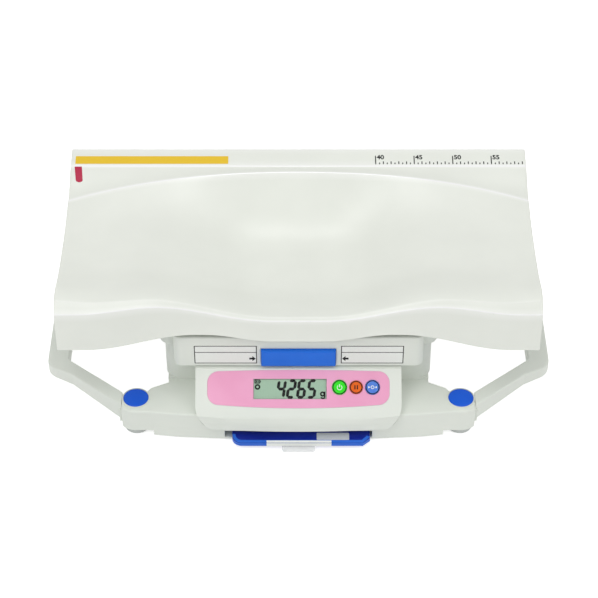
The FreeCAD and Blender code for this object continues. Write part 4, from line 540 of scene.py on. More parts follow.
def offset_line(points, distance):
    """Points moved square to the line by a distance, mitred at each corner."""
    moved = []
    for index, (y, z) in enumerate(points):
        before = points[max(index - 1, 0)]
        after = points[min(index + 1, len(points) - 1)]
        normals = []
        for first, last in ((before, (y, z)), ((y, z), after)):
            length = math.hypot(last[0] - first[0], last[1] - first[1])
            if length > 1e-9:
                normals.append(((last[1] - first[1]) / length, -(last[0] - first[0]) / length))
        mean_y = sum(item[0] for item in normals) / len(normals)
        mean_z = sum(item[1] for item in normals) / len(normals)
        stretch = distance / (mean_y ** 2 + mean_z ** 2)
        moved.append((y - mean_y * stretch, z - mean_z * stretch))
    return moved


def soft_corner(line, at, radius, least):
    """The line with one corner replaced by an arc that reaches at least a length each way."""
    corner = Vector(line[at])
    before, after = Vector(line[at - 1]), Vector(line[at + 1])
    to_before, to_after = (before - corner).normalized(), (after - corner).normalized()
    half = to_before.angle(to_after) / 2
    reach = min(max(radius / math.tan(half), least),
                (before - corner).length * 0.9, (after - corner).length * 0.9)
    start, end = corner + to_before * reach, corner + to_after * reach
    arc = []
    for step in range(ARC_STEPS + 1):
        share = step / ARC_STEPS
        arc.append(tuple(start.lerp(corner, share).lerp(corner.lerp(end, share), share)))
    return line[:at] + arc + line[at + 1:]


def tray_line(x, distance):
    """Section line at x moved inward by a distance, from the rear lip to the apron's edge."""
    runs = [points for degree, points in tray_section(x)]
    poles = runs[0][:1] + [point for run in runs for point in run[1:]]
    if distance:
        poles = offset_line(poles, distance)
    if distance > TRAY_WALL:
        inside = RIM[0] - TRAY_WALL      # the rear lip keeps its wall where the end lip is deeper
        under = poles[1][1] + (inside - poles[1][0]) * FLANGE_FALL / FLANGE_RUN
        poles[:2] = [(inside, under - FIRST_STEP), (inside, under)]
    line = poles[:1]
    corners = []
    first = 0
    for run, weights in zip(runs, WEIGHTS):
        last = first + len(run)
        line += [tuple(place) for place in (weights @ numpy.array(poles[first:last]))[1:]]
        corners.append(len(line) - 1)
        first = last - 1
    for at, radius, least in reversed(list(zip(corners, SOFTNESS, SOFT_REACH))):
        line = soft_corner(line, at, radius, least)
    return line


RING_PITCH, RING_COUNT = 2.45, 239      # sections between the ends, mm apart
RIM_ROUND = TRAY_WALL / 2               # rounding of the rim at both ends, mm
LIP_FOLLOW = 0.3                        # share of that rounding that the end lip's inner side follows


def tray_rings():
    """Closed sections from end to end, with a rounded rim and a lip at both ends."""
    lip_at = TRAY_HALF - TRAY_WALL
    between = sorted(round(lip_at - 0.5 - RING_PITCH * step, 3) for step in range(RING_COUNT))
    right = [(lip_at, 0.0, TRAY_WALL), (lip_at, 0.0, TRAY_WALL + END_LIP)]
    for turn in (math.radians(angle) for angle in (0, 30, 60, 90)):
        x = lip_at + RIM_ROUND * (1 + math.sin(turn))
        shrink = RIM_ROUND * (1 - math.cos(turn))
        right.append((x, shrink, TRAY_WALL + END_LIP - LIP_FOLLOW * shrink))
    left = [(-x, shrink, depth) for x, shrink, depth in reversed(right)]
    rings = []
    for x, shrink, depth in left + [(x, 0.0, TRAY_WALL) for x in between] + right:
        ring = tray_line(x, shrink) + tray_line(x, depth)[::-1]
        rings.append([from_front(x, y, z) for y, z in ring])
    return rings


def build_tray():
    """The tray's wall as one skin of rings with two end faces."""
    rings = tray_rings()
    size = len(rings[0])
    corners = [corner for ring in rings for corner in ring]
    faces = []
    for row in range(len(rings) - 1):
        near, far = row * size, (row + 1) * size
        for column in range(size):
            after = (column + 1) % size
            faces.append((near + column, near + after, far + after, far + column))
    for row, turn in ((0, -1), (len(rings) - 1, 1)):
        for column in range(size // 2 - 1):
            strip = [row * size + place for place in
                     (column, column + 1, size - 2 - column, size - 1 - column)]
            faces.append(tuple(strip[::turn]))
    mesh = mesh_of("tray_skin", corners, faces)
    # share of polish and of painted white highlight at each point of a section, read by the tray's material
    shine = numpy.zeros(size, dtype=numpy.float32)
    for corner, at in enumerate(numpy.cumsum(SAMPLES)[:-1]):
        start = at + corner * ARC_STEPS
        shine[start:start + ARC_STEPS + 1] = numpy.array(ARC_POLISH_AND_HIGHLIGHT) * CORNER_POLISH_AND_HIGHLIGHT[corner]
    bend = mesh.attributes.new("edge_painted_highlight", "FLOAT", "POINT")
    bend.data.foreach_set("value", numpy.tile(shine, len(rings)))
    make_piece("tray_skin", smoothed(turned_outward(mesh)), TRAY, "tray", ("tray_shell",))


# ---------------------------------------------------------------- flange print

# Frame of the flange: x along the tray, y up its slope.
FLANGE = (Matrix.Translation(from_front(0, *FLANGE_EDGE))
          @ Matrix.Rotation(math.atan2(FLANGE_FALL, FLANGE_RUN), 4, "X"))


def geometry_tree(name, sizes, material):
    """Empty geometry tree with named float inputs; returns it, its input node and a closing function."""
    tree = bpy.data.node_groups.new(name, "GeometryNodeTree")
    tree.interface.new_socket("Geometry", in_out="INPUT", socket_type="NodeSocketGeometry")
    for socket in sizes:
        tree.interface.new_socket(socket, in_out="INPUT", socket_type="NodeSocketFloat")
    tree.interface.new_socket("Geometry", in_out="OUTPUT", socket_type="NodeSocketGeometry")
    given = add(tree, "NodeGroupInput")

    def close(geometry):
        solid = add(tree, "GeometryNodeRealizeInstances", {"Geometry": geometry}).outputs["Geometry"]
        dressed = add(tree, "GeometryNodeSetMaterial", {"Geometry": solid, "Material": material})
        add(tree, "NodeGroupOutput", {"Geometry": dressed.outputs["Geometry"]})

    return tree, given, close


def grown(name, tree, sizes, points=((0, 0, 0),)):
    """Plain mesh that a geometry tree makes from loose points."""
    holder = bpy.data.objects.new(name, mesh_of(name, points, []))
    bpy.context.collection.objects.link(holder)
    growth = holder.modifiers.new("growth", "NODES")
    growth.node_group = tree
    for item in tree.interface.items_tree:
        if item.in_out == "INPUT" and item.name in sizes:
            growth[item.identifier] = sizes[item.name]
    return baked(holder)


def ruler_tree():
    """Row of marks: every tenth the longest, every second longer than the rest."""
    tree, given, close = geometry_tree("ruler_marks", ("Pitch", "Marks", "Short", "Middle", "Long", "Width"),
                                       BLACK_INK)
    step = add(tree, "ShaderNodeCombineXYZ", {"X": given.outputs["Pitch"]}).outputs["Vector"]
    row = add(tree, "GeometryNodeMeshLine", {"Count": given.outputs["Marks"], "Offset": step})
    index = add(tree, "GeometryNodeInputIndex").outputs["Index"]
    length = given.outputs["Short"]
    for period, longer in ((2, "Middle"), (10, "Long")):
        rest = add(tree, "ShaderNodeMath", {0: index, 1: period}, operation="MODULO").outputs["Value"]
        every = add(tree, "ShaderNodeMath", {0: rest, 1: 0.5}, operation="LESS_THAN").outputs["Value"]
        length = add(tree, "ShaderNodeMix", {"Factor": every, "A": length, "B": given.outputs[longer]},
                     data_type="FLOAT").outputs["Result"]
    bar = add(tree, "GeometryNodeMeshCube", {"Size": (1, 1, 1)}).outputs["Mesh"]
    raised = add(tree, "GeometryNodeTransform", {"Geometry": bar, "Translation": (0, 0.5, 0.5)})
    stretch = add(tree, "ShaderNodeCombineXYZ", {"X": given.outputs["Width"], "Y": length, "Z": 0.12 * MM})
    marks = add(tree, "GeometryNodeInstanceOnPoints", {
        "Points": row.outputs["Mesh"], "Instance": raised.outputs["Geometry"],
        "Scale": stretch.outputs["Vector"],
    })
    close(marks.outputs["Instances"])
    return tree


def lettering(name, words, height_mm, place, material, body):
    """Flat characters that start at a place, with a thin print thickness, as a mesh."""
    text = bpy.data.curves.new(name, "FONT")
    text.body = words
    text.size = height_mm * MM / 0.72       # capitals are 0.72 of the size
    text.extrude = 0.03 * MM
    text.offset = 0.03 * text.size
    text.align_x = "LEFT"
    text.align_y = "CENTER"
    holder = bpy.data.objects.new(name, text)
    bpy.context.collection.objects.link(holder)
    mesh = baked(holder)
    mesh.transform(place)
    make_piece(name, mesh, material, body)


# Sizes and places on the flange in mm.
MARK_COUNT = 39
MARK_SIZES = {"Pitch": 5.0, "Short": 2.5, "Middle": 4.4, "Long": 13.5, "Width": 1.3}
MARKS_LEFT, MARKS_LOW = 100.0, 3.0          # first mark's foot, from the middle and up the flange
NUMBERS = ("40", "45", "50", "55")          # centimetres, ten marks apart
NUMBER_TALL, NUMBER_SHIFT, NUMBER_MIDDLE = 6.8, 1.6, 14.0
STRIP = (-289, -91, 3.5, 16)                # left, right, low and high side on the flange


def build_flange_print():
    """Ruler marks, their numbers and the plain yellow strip."""
    sizes = {name: value * MM for name, value in MARK_SIZES.items()}
    marks = grown("ruler_marks", ruler_tree(), {"Marks": MARK_COUNT, **sizes})
    marks.transform(FLANGE @ Matrix.Translation((MARKS_LEFT * MM, MARKS_LOW * MM, 0)))
    make_piece("ruler_marks", marks, BLACK_INK, "tray")
    for index, words in enumerate(NUMBERS):
        x = MARKS_LEFT + index * 10 * MARK_SIZES["Pitch"] + NUMBER_SHIFT
        place = FLANGE @ Matrix.Translation((x * MM, NUMBER_MIDDLE * MM, 0.06 * MM))
        lettering("ruler_number_" + words, words, NUMBER_TALL, place, BLACK_INK, "tray")
    printed("flange_strip", [round_rect(*STRIP, 0.8)], FLANGE, YELLOW, "tray", thickness_mm=0.12)


RED_LEFT = (-289.5, -286.6)      # left side of the red mark at its rear and front end, mm
RED_RIGHT = (-280.2, -277.6)
RED_REACH = (252.0, 230.0)       # rear and front end, from the front plane
RED_ROUND = 3.0                  # rounding of the front end
RED_SKIN = (0.02, 0.16)          # under and upper side, over the tray


def on_tray(x, y, depth=0.0):
    """Height of the tray's surface at x and y in mm, or of the surface that lies depth under it."""
    behind_edge, on_flange = 2, FLANGE_EDGE[0] + 20      # between them the line has one height at each y
    places = sorted(place for place in tray_line(x, depth) if behind_edge < place[0] < on_flange)
    return float(numpy.interp(y, [place[0] for place in places], [place[1] for place in places]))


def build_red_mark():
    """Red vinyl mark that follows the gutter's slope, with a round front end."""
    sections = []
    low, high = RED_SKIN
    steps = 16
    for step in range(steps + 1):
        share = step / steps
        y = mix(*RED_REACH, share)
        inward = RED_ROUND - min(y - RED_REACH[1], RED_ROUND)
        pinch = RED_ROUND - math.sqrt(RED_ROUND ** 2 - inward ** 2)
        left, right = mix(*RED_LEFT, share) + pinch, mix(*RED_RIGHT, share) - pinch
        sections.append([from_front(x, y, on_tray(x, y) + lift)
                         for x, lift in ((left, low), (right, low), (right, high), (left, high))])
    swept("flange_red_mark", sections, RED, "tray")


def four_places(half_x, front, back):
    """Places (x, y) of four like screws, the same on both sides."""
    return [(x, y) for x in (-half_x, half_x) for y in (front, back)]


MOUNT_SCREWS = four_places(98, 69, 151)
BOSS_FOOT, BOSS_RADIUS, BOSS_BORE = 143.8, 6.0, 2.1
BOSS_SUNK = 0.6                  # the bosses end this far inside the tray's wall


def build_tray_bosses():
    """Screw bosses that run up into the tray's underside, one piece of four tubes."""
    steps = 32
    corners, faces = [], []
    for x, y in MOUNT_SCREWS:
        first = len(corners)
        for radius in (BOSS_BORE, BOSS_RADIUS):
            for top in (False, True):
                for step in range(steps):
                    turn = math.tau * step / steps
                    at = (x + radius * math.cos(turn), y + radius * math.sin(turn))
                    corners.append(from_front(*at, on_tray(*at, TRAY_WALL) + BOSS_SUNK if top else BOSS_FOOT))
        for step in range(steps):
            after = (step + 1) % steps
            low_in, top_in, low_out, top_out = (first + steps * ring for ring in range(4))
            for one, other in ((low_out, top_out), (top_out, top_in), (top_in, low_in), (low_in, low_out)):
                faces.append((one + step, one + after, other + after, other + step))
    mesh = smoothed(mesh_of("tray_bosses", corners, faces))
    make_piece("tray_bosses", mesh, TRAY, "tray")


# ---------------------------------------------------------------- screws

HEAD_RADIUS, SHANK_RADIUS = 4, 2       # mm
HEAD_TAPER = 0.82                      # lower rim of the head, in head radii
CROSS_LONG, CROSS_WIDE, CROSS_DEEP = 1.1, 0.22, 0.9    # recess in head radii; cutter's height in head heights

# Node, body, places, and heights of the head's underside, the head and the tip, mm.
SCREWS = (
    ("case_screws", "base", four_places(150, -8, 37), 6.8, 2.2, 35.7),
    ("platform_screws", "base", four_places(120, 50, 170), 118.8, 2.2, 130.5),
    ("tray_mount_screws", "tray", MOUNT_SCREWS, 138.8, 1.0, 152.8),
)


def scaled(tree, value, factor):
    """A socket's value times a factor."""
    return add(tree, "ShaderNodeMath", {0: value, 1: factor}, operation="MULTIPLY").outputs["Value"]


def screw_tree():
    """Upward screw on each point: pan head with a cross recess in its lower face, plain shank above."""
    tree, given, close = geometry_tree("cross_head_screws", ("Head", "Rise", "Shank", "Reach"), SCREW)
    head, rise, thick, reach = (given.outputs[name] for name in ("Head", "Rise", "Shank", "Reach"))
    pan = add(tree, "GeometryNodeMeshCone", {
        "Vertices": 40, "Radius Top": head, "Radius Bottom": scaled(tree, head, HEAD_TAPER), "Depth": rise,
    })
    cut = add(tree, "GeometryNodeMeshBoolean", {"Mesh 1": pan.outputs["Mesh"]}, operation="DIFFERENCE")
    for wide, tall in ((CROSS_LONG, CROSS_WIDE), (CROSS_WIDE, CROSS_LONG)):
        size = add(tree, "ShaderNodeCombineXYZ", {
            "X": scaled(tree, head, wide), "Y": scaled(tree, head, tall), "Z": scaled(tree, rise, CROSS_DEEP),
        })
        arm = add(tree, "GeometryNodeMeshCube", {"Size": size.outputs["Vector"]})
        tree.links.new(arm.outputs["Mesh"], cut.inputs["Mesh 2"])
    shank = add(tree, "GeometryNodeMeshCylinder", {"Vertices": 24, "Radius": thick, "Depth": reach})
    middle = add(tree, "ShaderNodeMath", {0: rise, 1: scaled(tree, reach, 0.5)}, operation="ADD")
    lift = add(tree, "ShaderNodeCombineXYZ", {"Z": middle.outputs["Value"]}).outputs["Vector"]
    raised = add(tree, "GeometryNodeTransform", {"Geometry": shank.outputs["Mesh"], "Translation": lift})
    whole = add(tree, "GeometryNodeJoinGeometry", {"Geometry": cut.outputs["Mesh"]})
    tree.links.new(raised.outputs["Geometry"], whole.inputs["Geometry"])
    screws = add(tree, "GeometryNodeInstanceOnPoints", {
        "Points": given.outputs["Geometry"], "Instance": whole.outputs["Geometry"],
    })
    close(screws.outputs["Instances"])
    return tree


def build_screws():
    """The cross-head screws seen from below, one piece for each node."""
    tree = screw_tree()
    for node, body, places, foot, rise, tip in SCREWS:
        sizes = {"Head": HEAD_RADIUS * MM, "Rise": rise * MM, "Shank": SHANK_RADIUS * MM,
                 "Reach": (tip - foot - rise) * MM}
        points = [from_front(x, y, foot) for x, y in places]
        mesh = smoothed(grown(node + "_cross_head", tree, sizes, points), 30)
        make_piece(node + "_cross_head", mesh, SCREW, body, (node,))


# ---------------------------------------------------------------- moulded and plain nodes

PANEL_SEAT = (113, 25.5, -0.4)   # half width, half depth and top of the panel's recess in the face, mm


def in_panel_seat(place):
    """True inside the pod's panel recess and the openings under it."""
    x, y, z = FACE.inverted() @ place / MM
    half_x, half_y, top = PANEL_SEAT
    return abs(x) < half_x and abs(y) < half_y and z < top


# Node, rounding in mm, material, body, slot and crisp test.
MOULDED = (
    ("platform_cover", 1.2, CASE, "base", "case_plastic", None),
    ("base_upper_case", 1.6, CASE, "base", "case_plastic", None),
    ("base_lower_case", 1.2, CASE, "base", "case_plastic", None),
    ("left_leg", 2.0, CASE, "left_leg", "case_plastic", None),
    ("right_leg", 2.0, CASE, "right_leg", "case_plastic", None),
    ("pod_upper_shell", 3.0, CASE, "base", "case_plastic", in_panel_seat),
    ("pod_lower_shell", 2.0, CASE, "base", "case_plastic", None),
    ("lock_lever", 0.8, LEVER, "lock_lever", "lever_blue", None),
    ("left_pivot_cap", 0.3, CAP, "base", "cap_blue", None),
    ("right_pivot_cap", 0.3, CAP, "base", "cap_blue", None),
    ("height_cursor", 0.8, CURSOR, "height_cursor", "cursor_blue", None),
    ("cursor_tab", 0.4, TAB, "height_cursor", "tab_clear", None),
    ("battery_cover", 0.4, CASE, "battery_cover", "case_plastic", None),
    ("button_power", 0.5, KEY_GREEN, "button_power", "key_green", None),
    ("button_hold", 0.5, KEY_ORANGE, "button_hold", "key_orange", None),
    ("button_zero", 0.5, KEY_BLUE, "button_zero", "key_blue", None),
    ("left_front_foot", 0.8, RUBBER, "base", "foot_rubber", None),
    ("right_front_foot", 0.8, RUBBER, "base", "foot_rubber", None),
    ("left_rear_foot", 0.8, RUBBER, "left_leg", "foot_rubber", None),
    ("right_rear_foot", 0.8, RUBBER, "right_leg", "foot_rubber", None),
)

# Nodes that keep their own shape, with their material.
PLAIN = {
    "tray_mount_frame": CASE, "platform_stiffener": PLATE, "platform_pads": RUBBER,
    "left_pivot_pin": PIN, "right_pivot_pin": PIN, "left_pivot_washer": NYLON, "right_pivot_washer": NYLON,
    "lcd_window": WINDOW, "lcd_module": DISPLAY, "display_panel": PANEL,
    "main_board": BOARD, "button_switches": SWITCH,
    "load_cell": MILLED, "load_cell_foot": MILLED, "load_cell_head": MILLED, "load_cell_bolts": SCREW,
    "batteries": JACKET, "battery_contacts": CONTACT,
}


def dress_nodes():
    """Rounded shapes for the moulded nodes and materials for the plain ones."""
    for row in MOULDED:
        rounded_node(*row)
    for node, material in PLAIN.items():
        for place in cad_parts[node].material_slots:
            place.material = material


# ---------------------------------------------------------------- display and keys

# Places on the tilted face in mm: across it from its middle, up its slope and above it.
GLASS_TOP = -2.5         # top of the display glass
KEY_TOP = 1.0
KEY_Y = 3.0
KEYS = {"power": (50.8, 9.2), "hold": (71.3, 8.3), "zero": (91.5, 9.1)}    # middle and radius
KEY_RING = (0.5, 1.7)    # ring's outer and inner side, inside the key's edge

DIGIT_WIDE, DIGIT_TALL, DIGIT_BAR, DIGIT_PITCH = 7.8, 20.4, 3.7, 12.6
DIGIT_LEAN = 0.14        # shift to the right for each mm up
DIGIT_GAP = 0.15         # between a bar's point and its corner
DIGITS_LEFT, DIGITS_LOW = -26.6, -9.2
READING = "4265"
LIT = {"2": "abdeg", "4": "bcfg", "5": "acdfg", "6": "acdefg"}

CELL_SIGN = (-54.2, -47.4, 7.8, 12.8)      # left, right, low and high side of the battery sign
CELL_LINE = 1.1
CELL_BARS = ((-47.4, -46.4), (-52.7, -51.2), (-50.6, -49.1))    # its cap and two bars, left and right side
CELL_BAR_REACH = (9.2, 11.4)               # their low and high side
ZERO_RING = (-50.6, 3.6, 3.5, 1.5)         # middle, outer and inner radius
UNIT_BOWL = (29.8, -5.2, 3.2, 1.2)         # the unit's letter g: bowl, tail and stem
UNIT_TAIL = (30.2, -8.4, 3.2, 1.3, 200, 360)
UNIT_STEM = (31.4, 33.4, -8.4, -2.2)


def digit_bars(digit, left, low):
    """Lit bars of one leaning seven-segment digit, as six-sided outlines with small gaps."""
    middle, top, right = DIGIT_TALL / 2, DIGIT_TALL, DIGIT_WIDE
    ends = {
        "a": ((0, top), (right, top)), "b": ((right, middle), (right, top)),
        "c": ((right, 0), (right, middle)), "d": ((0, 0), (right, 0)),
        "e": ((0, 0), (0, middle)), "f": ((0, middle), (0, top)), "g": ((0, middle), (right, middle)),
    }
    half, gap = DIGIT_BAR / 2, DIGIT_GAP
    bars = []
    for name in LIT[digit]:
        (x0, y0), (x1, y1) = ends[name]
        if y0 == y1:
            shape = [(x0 + gap, y0), (x0 + half, y0 - half), (x1 - half, y0 - half), (x1 - gap, y0),
                     (x1 - half, y0 + half), (x0 + half, y0 + half)]
        else:
            shape = [(x0, y0 + gap), (x0 + half, y0 + half), (x0 + half, y1 - half), (x0, y1 - gap),
                     (x0 - half, y1 - half), (x0 - half, y0 + half)]
        bars.append([(left + x + DIGIT_LEAN * y, low + y) for x, y in shape])
    return bars


def build_display_print():
    """Lit digits, battery sign, zero ring and unit on the display glass."""
    outlines = []
    for index, digit in enumerate(READING):
        outlines += digit_bars(digit, DIGITS_LEFT + index * DIGIT_PITCH, DIGITS_LOW)
    outlines += frame_bars(*CELL_SIGN, CELL_LINE)
    outlines += [round_rect(*sides, *CELL_BAR_REACH, 0) for sides in CELL_BARS]
    outlines += arc_band(*ZERO_RING)
    outlines += arc_band(*UNIT_BOWL) + arc_band(*UNIT_TAIL)
    outlines.append(round_rect(*UNIT_STEM, 0))
    printed("display_digits", outlines, FACE, SEGMENT, "base", GLASS_TOP, 0.05)


def power_sign(x):
    """Ring that is open at its top, with an upright bar in the gap."""
    outer, inner, drop = 3.3, 2.5, 0.3
    half_bar, bar_tall = 0.45, 4
    ring = arc_band(x, KEY_Y - drop, outer, inner, 90 + 35, 450 - 35)
    return ring + [round_rect(x - half_bar, x + half_bar, KEY_Y, KEY_Y + bar_tall, 0.4)]


def pause_sign(x):
    """Two upright bars."""
    apart, half_wide, half_tall = 1.5, 0.7, 2.6
    return [round_rect(x + side * apart - half_wide, x + side * apart + half_wide,
                       KEY_Y - half_tall, KEY_Y + half_tall, 0.3) for side in (-1, 1)]


def zero_sign(x):
    """Ring between two arrow heads that point at it."""
    outer, inner = 2.2, 1.4
    tip, tail, half_tall = 2.9, 5.3, 1.6
    outlines = arc_band(x, KEY_Y, outer, inner)
    for side in (-1, 1):
        flat_side = [(x + side * tail, KEY_Y + side * height) for height in (-half_tall, half_tall)]
        outlines.append(flat_side + [(x + side * tip, KEY_Y)])
    return outlines


def build_key_prints():
    """Dark ring and a plain sign on each key."""
    outer, inner = KEY_RING
    for name, (x, radius) in KEYS.items():
        ring = arc_band(x, KEY_Y, radius - outer, radius - inner)
        printed("key_ring_" + name, ring, FACE, BLACK_INK, "button_" + name, KEY_TOP)
    for name, sign, material in (("power", power_sign, LABEL), ("hold", pause_sign, BLACK_INK),
                                 ("zero", zero_sign, LABEL)):
        printed("key_sign_" + name, sign(KEYS[name][0]), FACE, material, "button_" + name, KEY_TOP)


# ---------------------------------------------------------------- labels

BAY_FRONT = 5            # front face of the bay, from the front plane, mm
LABEL_REACH = (94.2, 124.4)      # low and high side
LABEL_ROUND, LABEL_INSET, LABEL_LINE = 0.8, 0.3, 1.1
LABEL_THICK, LABEL_PRINT_THICK = 0.1, 0.04
DIVIDER_Z, DIVIDER_HALF = 113.1, 0.5
ARROW = ((0, -1.5), (3.8, -1.5), (3.8, -4.2), (8, 0), (3.8, 4.2), (3.8, 1.5), (0, 1.5))
ARROW_Z = 102.6

# Word, left and right side, arrow's tail and the way that it points.
BAY_LABELS = (("left", -128.6, -50.8, -60.6, 1), ("right", 52.0, 129.8, 61.8, -1))


def build_bay_labels():
    """White labels beside the lever: thin border, divider under the head band, arrow towards the lever."""
    place = upright(BAY_FRONT)
    low, high = LABEL_REACH
    for word, left, right, tail, way in BAY_LABELS:
        printed("bay_label_" + word, [round_rect(left, right, low, high, LABEL_ROUND)], place, LABEL, "base",
                thickness_mm=LABEL_THICK)
        sides = (left + LABEL_INSET, right - LABEL_INSET)
        marks = frame_bars(*sides, low + LABEL_INSET, high - LABEL_INSET, LABEL_LINE)
        marks.append(round_rect(*sides, DIVIDER_Z - DIVIDER_HALF, DIVIDER_Z + DIVIDER_HALF, 0))
        marks.append([(tail + way * x, ARROW_Z + z) for x, z in ARROW][::way])
        printed("bay_label_print_" + word, marks, place, BLACK_INK, "base", LABEL_THICK, LABEL_PRINT_THICK)


CURSOR_FRONT, CURSOR_BACK = -53, -24       # from the front plane, mm
CURSOR_LEFT, CURSOR_RIGHT = -82.5, 89
CURSOR_ROUND = 12                          # rounding of the left front corner
CURSOR_CUT = (9, 8)                        # cut of the right front corner, across and back
CURSOR_BROW = 13                           # height of the front face's upper edge
CURSOR_RISE, CURSOR_RUN = 3.3, 15
CURSOR_SLOPE = (Matrix.Translation(from_front(0, CURSOR_FRONT, CURSOR_BROW))
                @ Matrix.Rotation(math.atan2(CURSOR_RISE, CURSOR_RUN), 4, "X"))
EDGE_HIGHLIGHT_BAND = (7.8, 12.9)                    # low and high side of the painted highlight band on the front, mm
EDGE_HIGHLIGHT_THICK = 0.16
BROW_HIGHLIGHT_BAND = (0.3, 4.2)                     # front and rear side of the painted highlight band on the slope, behind the outline
BROW_HIGHLIGHT_THICK = 0.14
FRONT_LABEL = (-39.6, 41)                  # left and right side
BROW_LABEL = (0.3, 3.6)                    # low and high side, up the slope
FOIL_LABEL = (22.7, 63.1, 4.2, 14.8)


def on_cursor(x, y, lift=0.0):
    """Point on the cursor's upper surface: the front slope, then the level top."""
    climb = CURSOR_RISE * min((y - CURSOR_FRONT) / CURSOR_RUN, 1)
    return from_front(x, y, CURSOR_BROW + climb + lift)


def cursor_outline():
    """Front of the cursor seen from above, from its left side to its right side."""
    path = [(CURSOR_LEFT, CURSOR_BACK)]
    for angle in range(180, 271, 9):
        turn = math.radians(angle)
        path.append((CURSOR_LEFT + CURSOR_ROUND * (1 + math.cos(turn)),
                     CURSOR_FRONT + CURSOR_ROUND * (1 + math.sin(turn))))
    return path + [(CURSOR_RIGHT - CURSOR_CUT[0], CURSOR_FRONT), (CURSOR_RIGHT, CURSOR_FRONT + CURSOR_CUT[1]),
                   (CURSOR_RIGHT, CURSOR_BACK)]


def build_cursor_highlight_and_labels():
    """Lighter blue band round the cursor's front and over its edge as a painted highlight, a blank front
    label and a blank foil label.
    """
    path = cursor_outline()
    low, high = EDGE_HIGHLIGHT_BAND
    edge = [[from_front(*near, low), from_front(*far, low), from_front(*far, high), from_front(*near, high)]
            for near, far in zip(path, offset_line(path, -EDGE_HIGHLIGHT_THICK))]
    swept("cursor_edge_painted_highlight", edge, CURSOR_PAINTED_HIGHLIGHT, "height_cursor")
    front, back = (offset_line(path, distance) for distance in BROW_HIGHLIGHT_BAND)
    brow = [[on_cursor(*near), on_cursor(*far),
             on_cursor(*far, BROW_HIGHLIGHT_THICK), on_cursor(*near, BROW_HIGHLIGHT_THICK)]
            for near, far in zip(front, back)]
    swept("cursor_brow_painted_highlight", brow, CURSOR_PAINTED_HIGHLIGHT, "height_cursor")
    for name, outline, place, material, base_mm, thickness_mm in (
        ("cursor_front_label", round_rect(*FRONT_LABEL, *EDGE_HIGHLIGHT_BAND, 0.3), upright(CURSOR_FRONT), LABEL,
         EDGE_HIGHLIGHT_THICK, 0.08),
        ("cursor_brow_label", round_rect(*FRONT_LABEL, *BROW_LABEL, 0.3), CURSOR_SLOPE, LABEL, 0.15, 0.08),
        ("cursor_foil_label", round_rect(*FOIL_LABEL, 1.4), CURSOR_SLOPE, SILVER, 0.0, 0.1),
    ):
        printed(name, [outline], place, material, "height_cursor", base_mm, thickness_mm)


# ---------------------------------------------------------------- studio

FLOOR_HALF = 6.0         # metres
FLOOR_LIFT = 0.65        # glow that makes the floor read as white
AIR = 0.57               # strength of the world's light on the object
AIM = (0, 0, 0.1)

# Name, place in metres and watts of each round soft light.
LAMPS = (
    ("key_softbox", (-1.2, -1.6, 2.6), 19),
    ("top_softbox", (0, -0.2, 3.0), 15),
    ("right_softbox", (1.8, -1.2, 2.2), 11),
)
LAMP_WIDE = 1.6          # metres

CAMERA_PLACE = (0.0007, -1.7512, 1.6836)   # metres
CAMERA_DOWN = 42         # degrees
LENS = 111.4             # mm, on a sensor of 36 mm


def seen_directly(tree, *kinds):
    """1 for camera rays and for rays of the other kinds named, 0 for the rest."""
    ray = add(tree, "ShaderNodeLightPath")
    seen = ray.outputs["Is Camera Ray"]
    for kind in kinds:
        seen = add(tree, "ShaderNodeMath", {0: seen, 1: ray.outputs[kind]},
                   operation="MAXIMUM").outputs["Value"]
    return seen


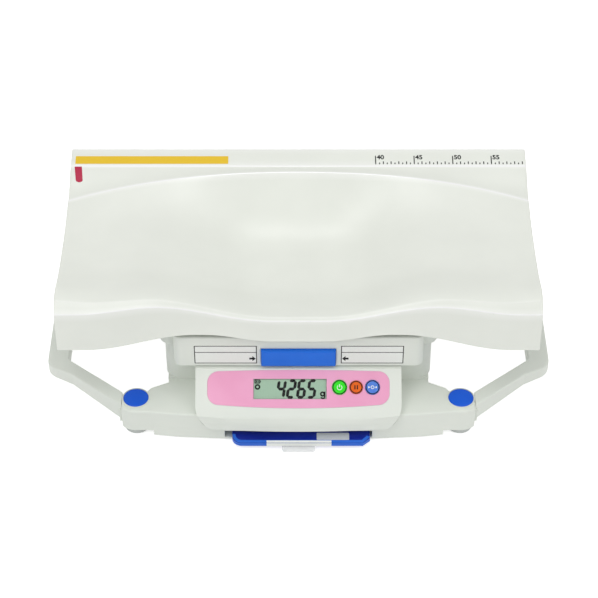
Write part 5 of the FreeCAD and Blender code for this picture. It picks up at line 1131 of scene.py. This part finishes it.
def build_floor():
    """Pale seamless floor that takes the object's shadow and reads as white to the camera."""
    made, tree, shader = surface("studio_floor_paper", Roughness=0.9, IOR=1.3)
    coloured(tree, shader, pattern(tree, 40), "#F4F4F4", "#F2F2F2")
    lift = scaled(tree, seen_directly(tree, "Is Glossy Ray", "Is Transmission Ray"), FLOOR_LIFT)
    glow = add(tree, "ShaderNodeEmission", {"Color": (1, 1, 1, 1), "Strength": lift})
    both = add(tree, "ShaderNodeAddShader", {0: shader.outputs["BSDF"], 1: glow.outputs["Emission"]})
    tree.links.new(both.outputs["Shader"], tree.nodes["Material Output"].inputs["Surface"])
    corners = [(x * FLOOR_HALF, y * FLOOR_HALF, 0) for x, y in ((-1, -1), (1, -1), (1, 1), (-1, 1))]
    floor = bpy.data.objects.new("studio_floor", mesh_of("studio_floor", corners, [(0, 1, 2, 3)]))
    floor.data.materials.append(made)
    bpy.context.collection.objects.link(floor)


def build_lights():
    """Round soft lights that face the object."""
    for name, place, watts in LAMPS:
        lamp = bpy.data.lights.new(name, "AREA")
        lamp.shape = "DISK"
        lamp.size = LAMP_WIDE
        lamp.energy = watts
        holder = bpy.data.objects.new(name, lamp)
        holder.location = place
        holder.rotation_euler = (Vector(AIM) - Vector(place)).to_track_quat("-Z", "Y").to_euler()
        bpy.context.collection.objects.link(holder)


def build_world():
    """White surroundings that light the object more softly than they look."""
    world = bpy.data.worlds.new("studio_air")
    world.use_nodes = True
    tree = world.node_tree
    seen = seen_directly(tree, "Is Transmission Ray")
    strength = add(tree, "ShaderNodeMapRange", {"Value": seen, "To Min": AIR, "To Max": 1.0})
    back = tree.nodes["Background"]
    back.inputs["Color"].default_value = (1, 1, 1, 1)
    tree.links.new(strength.outputs["Result"], back.inputs["Strength"])
    bpy.context.scene.world = world


def build_camera():
    """Long lens that looks down at the front."""
    lens = bpy.data.cameras.new("studio_camera")
    lens.sensor_width = 36
    lens.lens = LENS
    lens.clip_end = 50
    camera = bpy.data.objects.new("studio_camera", lens)
    camera.location = CAMERA_PLACE
    camera.rotation_euler = (math.radians(90 - CAMERA_DOWN), 0, 0)
    bpy.context.collection.objects.link(camera)
    bpy.context.scene.camera = camera


# ---------------------------------------------------------------- assembly

build_tray()
build_tray_bosses()
build_screws()
build_flange_print()
build_red_mark()
dress_nodes()
build_display_print()
build_key_prints()
build_bay_labels()
build_cursor_highlight_and_labels()
build_floor()
build_world()
build_lights()
build_camera()
bpy.context.scene.view_settings.view_transform = "Standard"
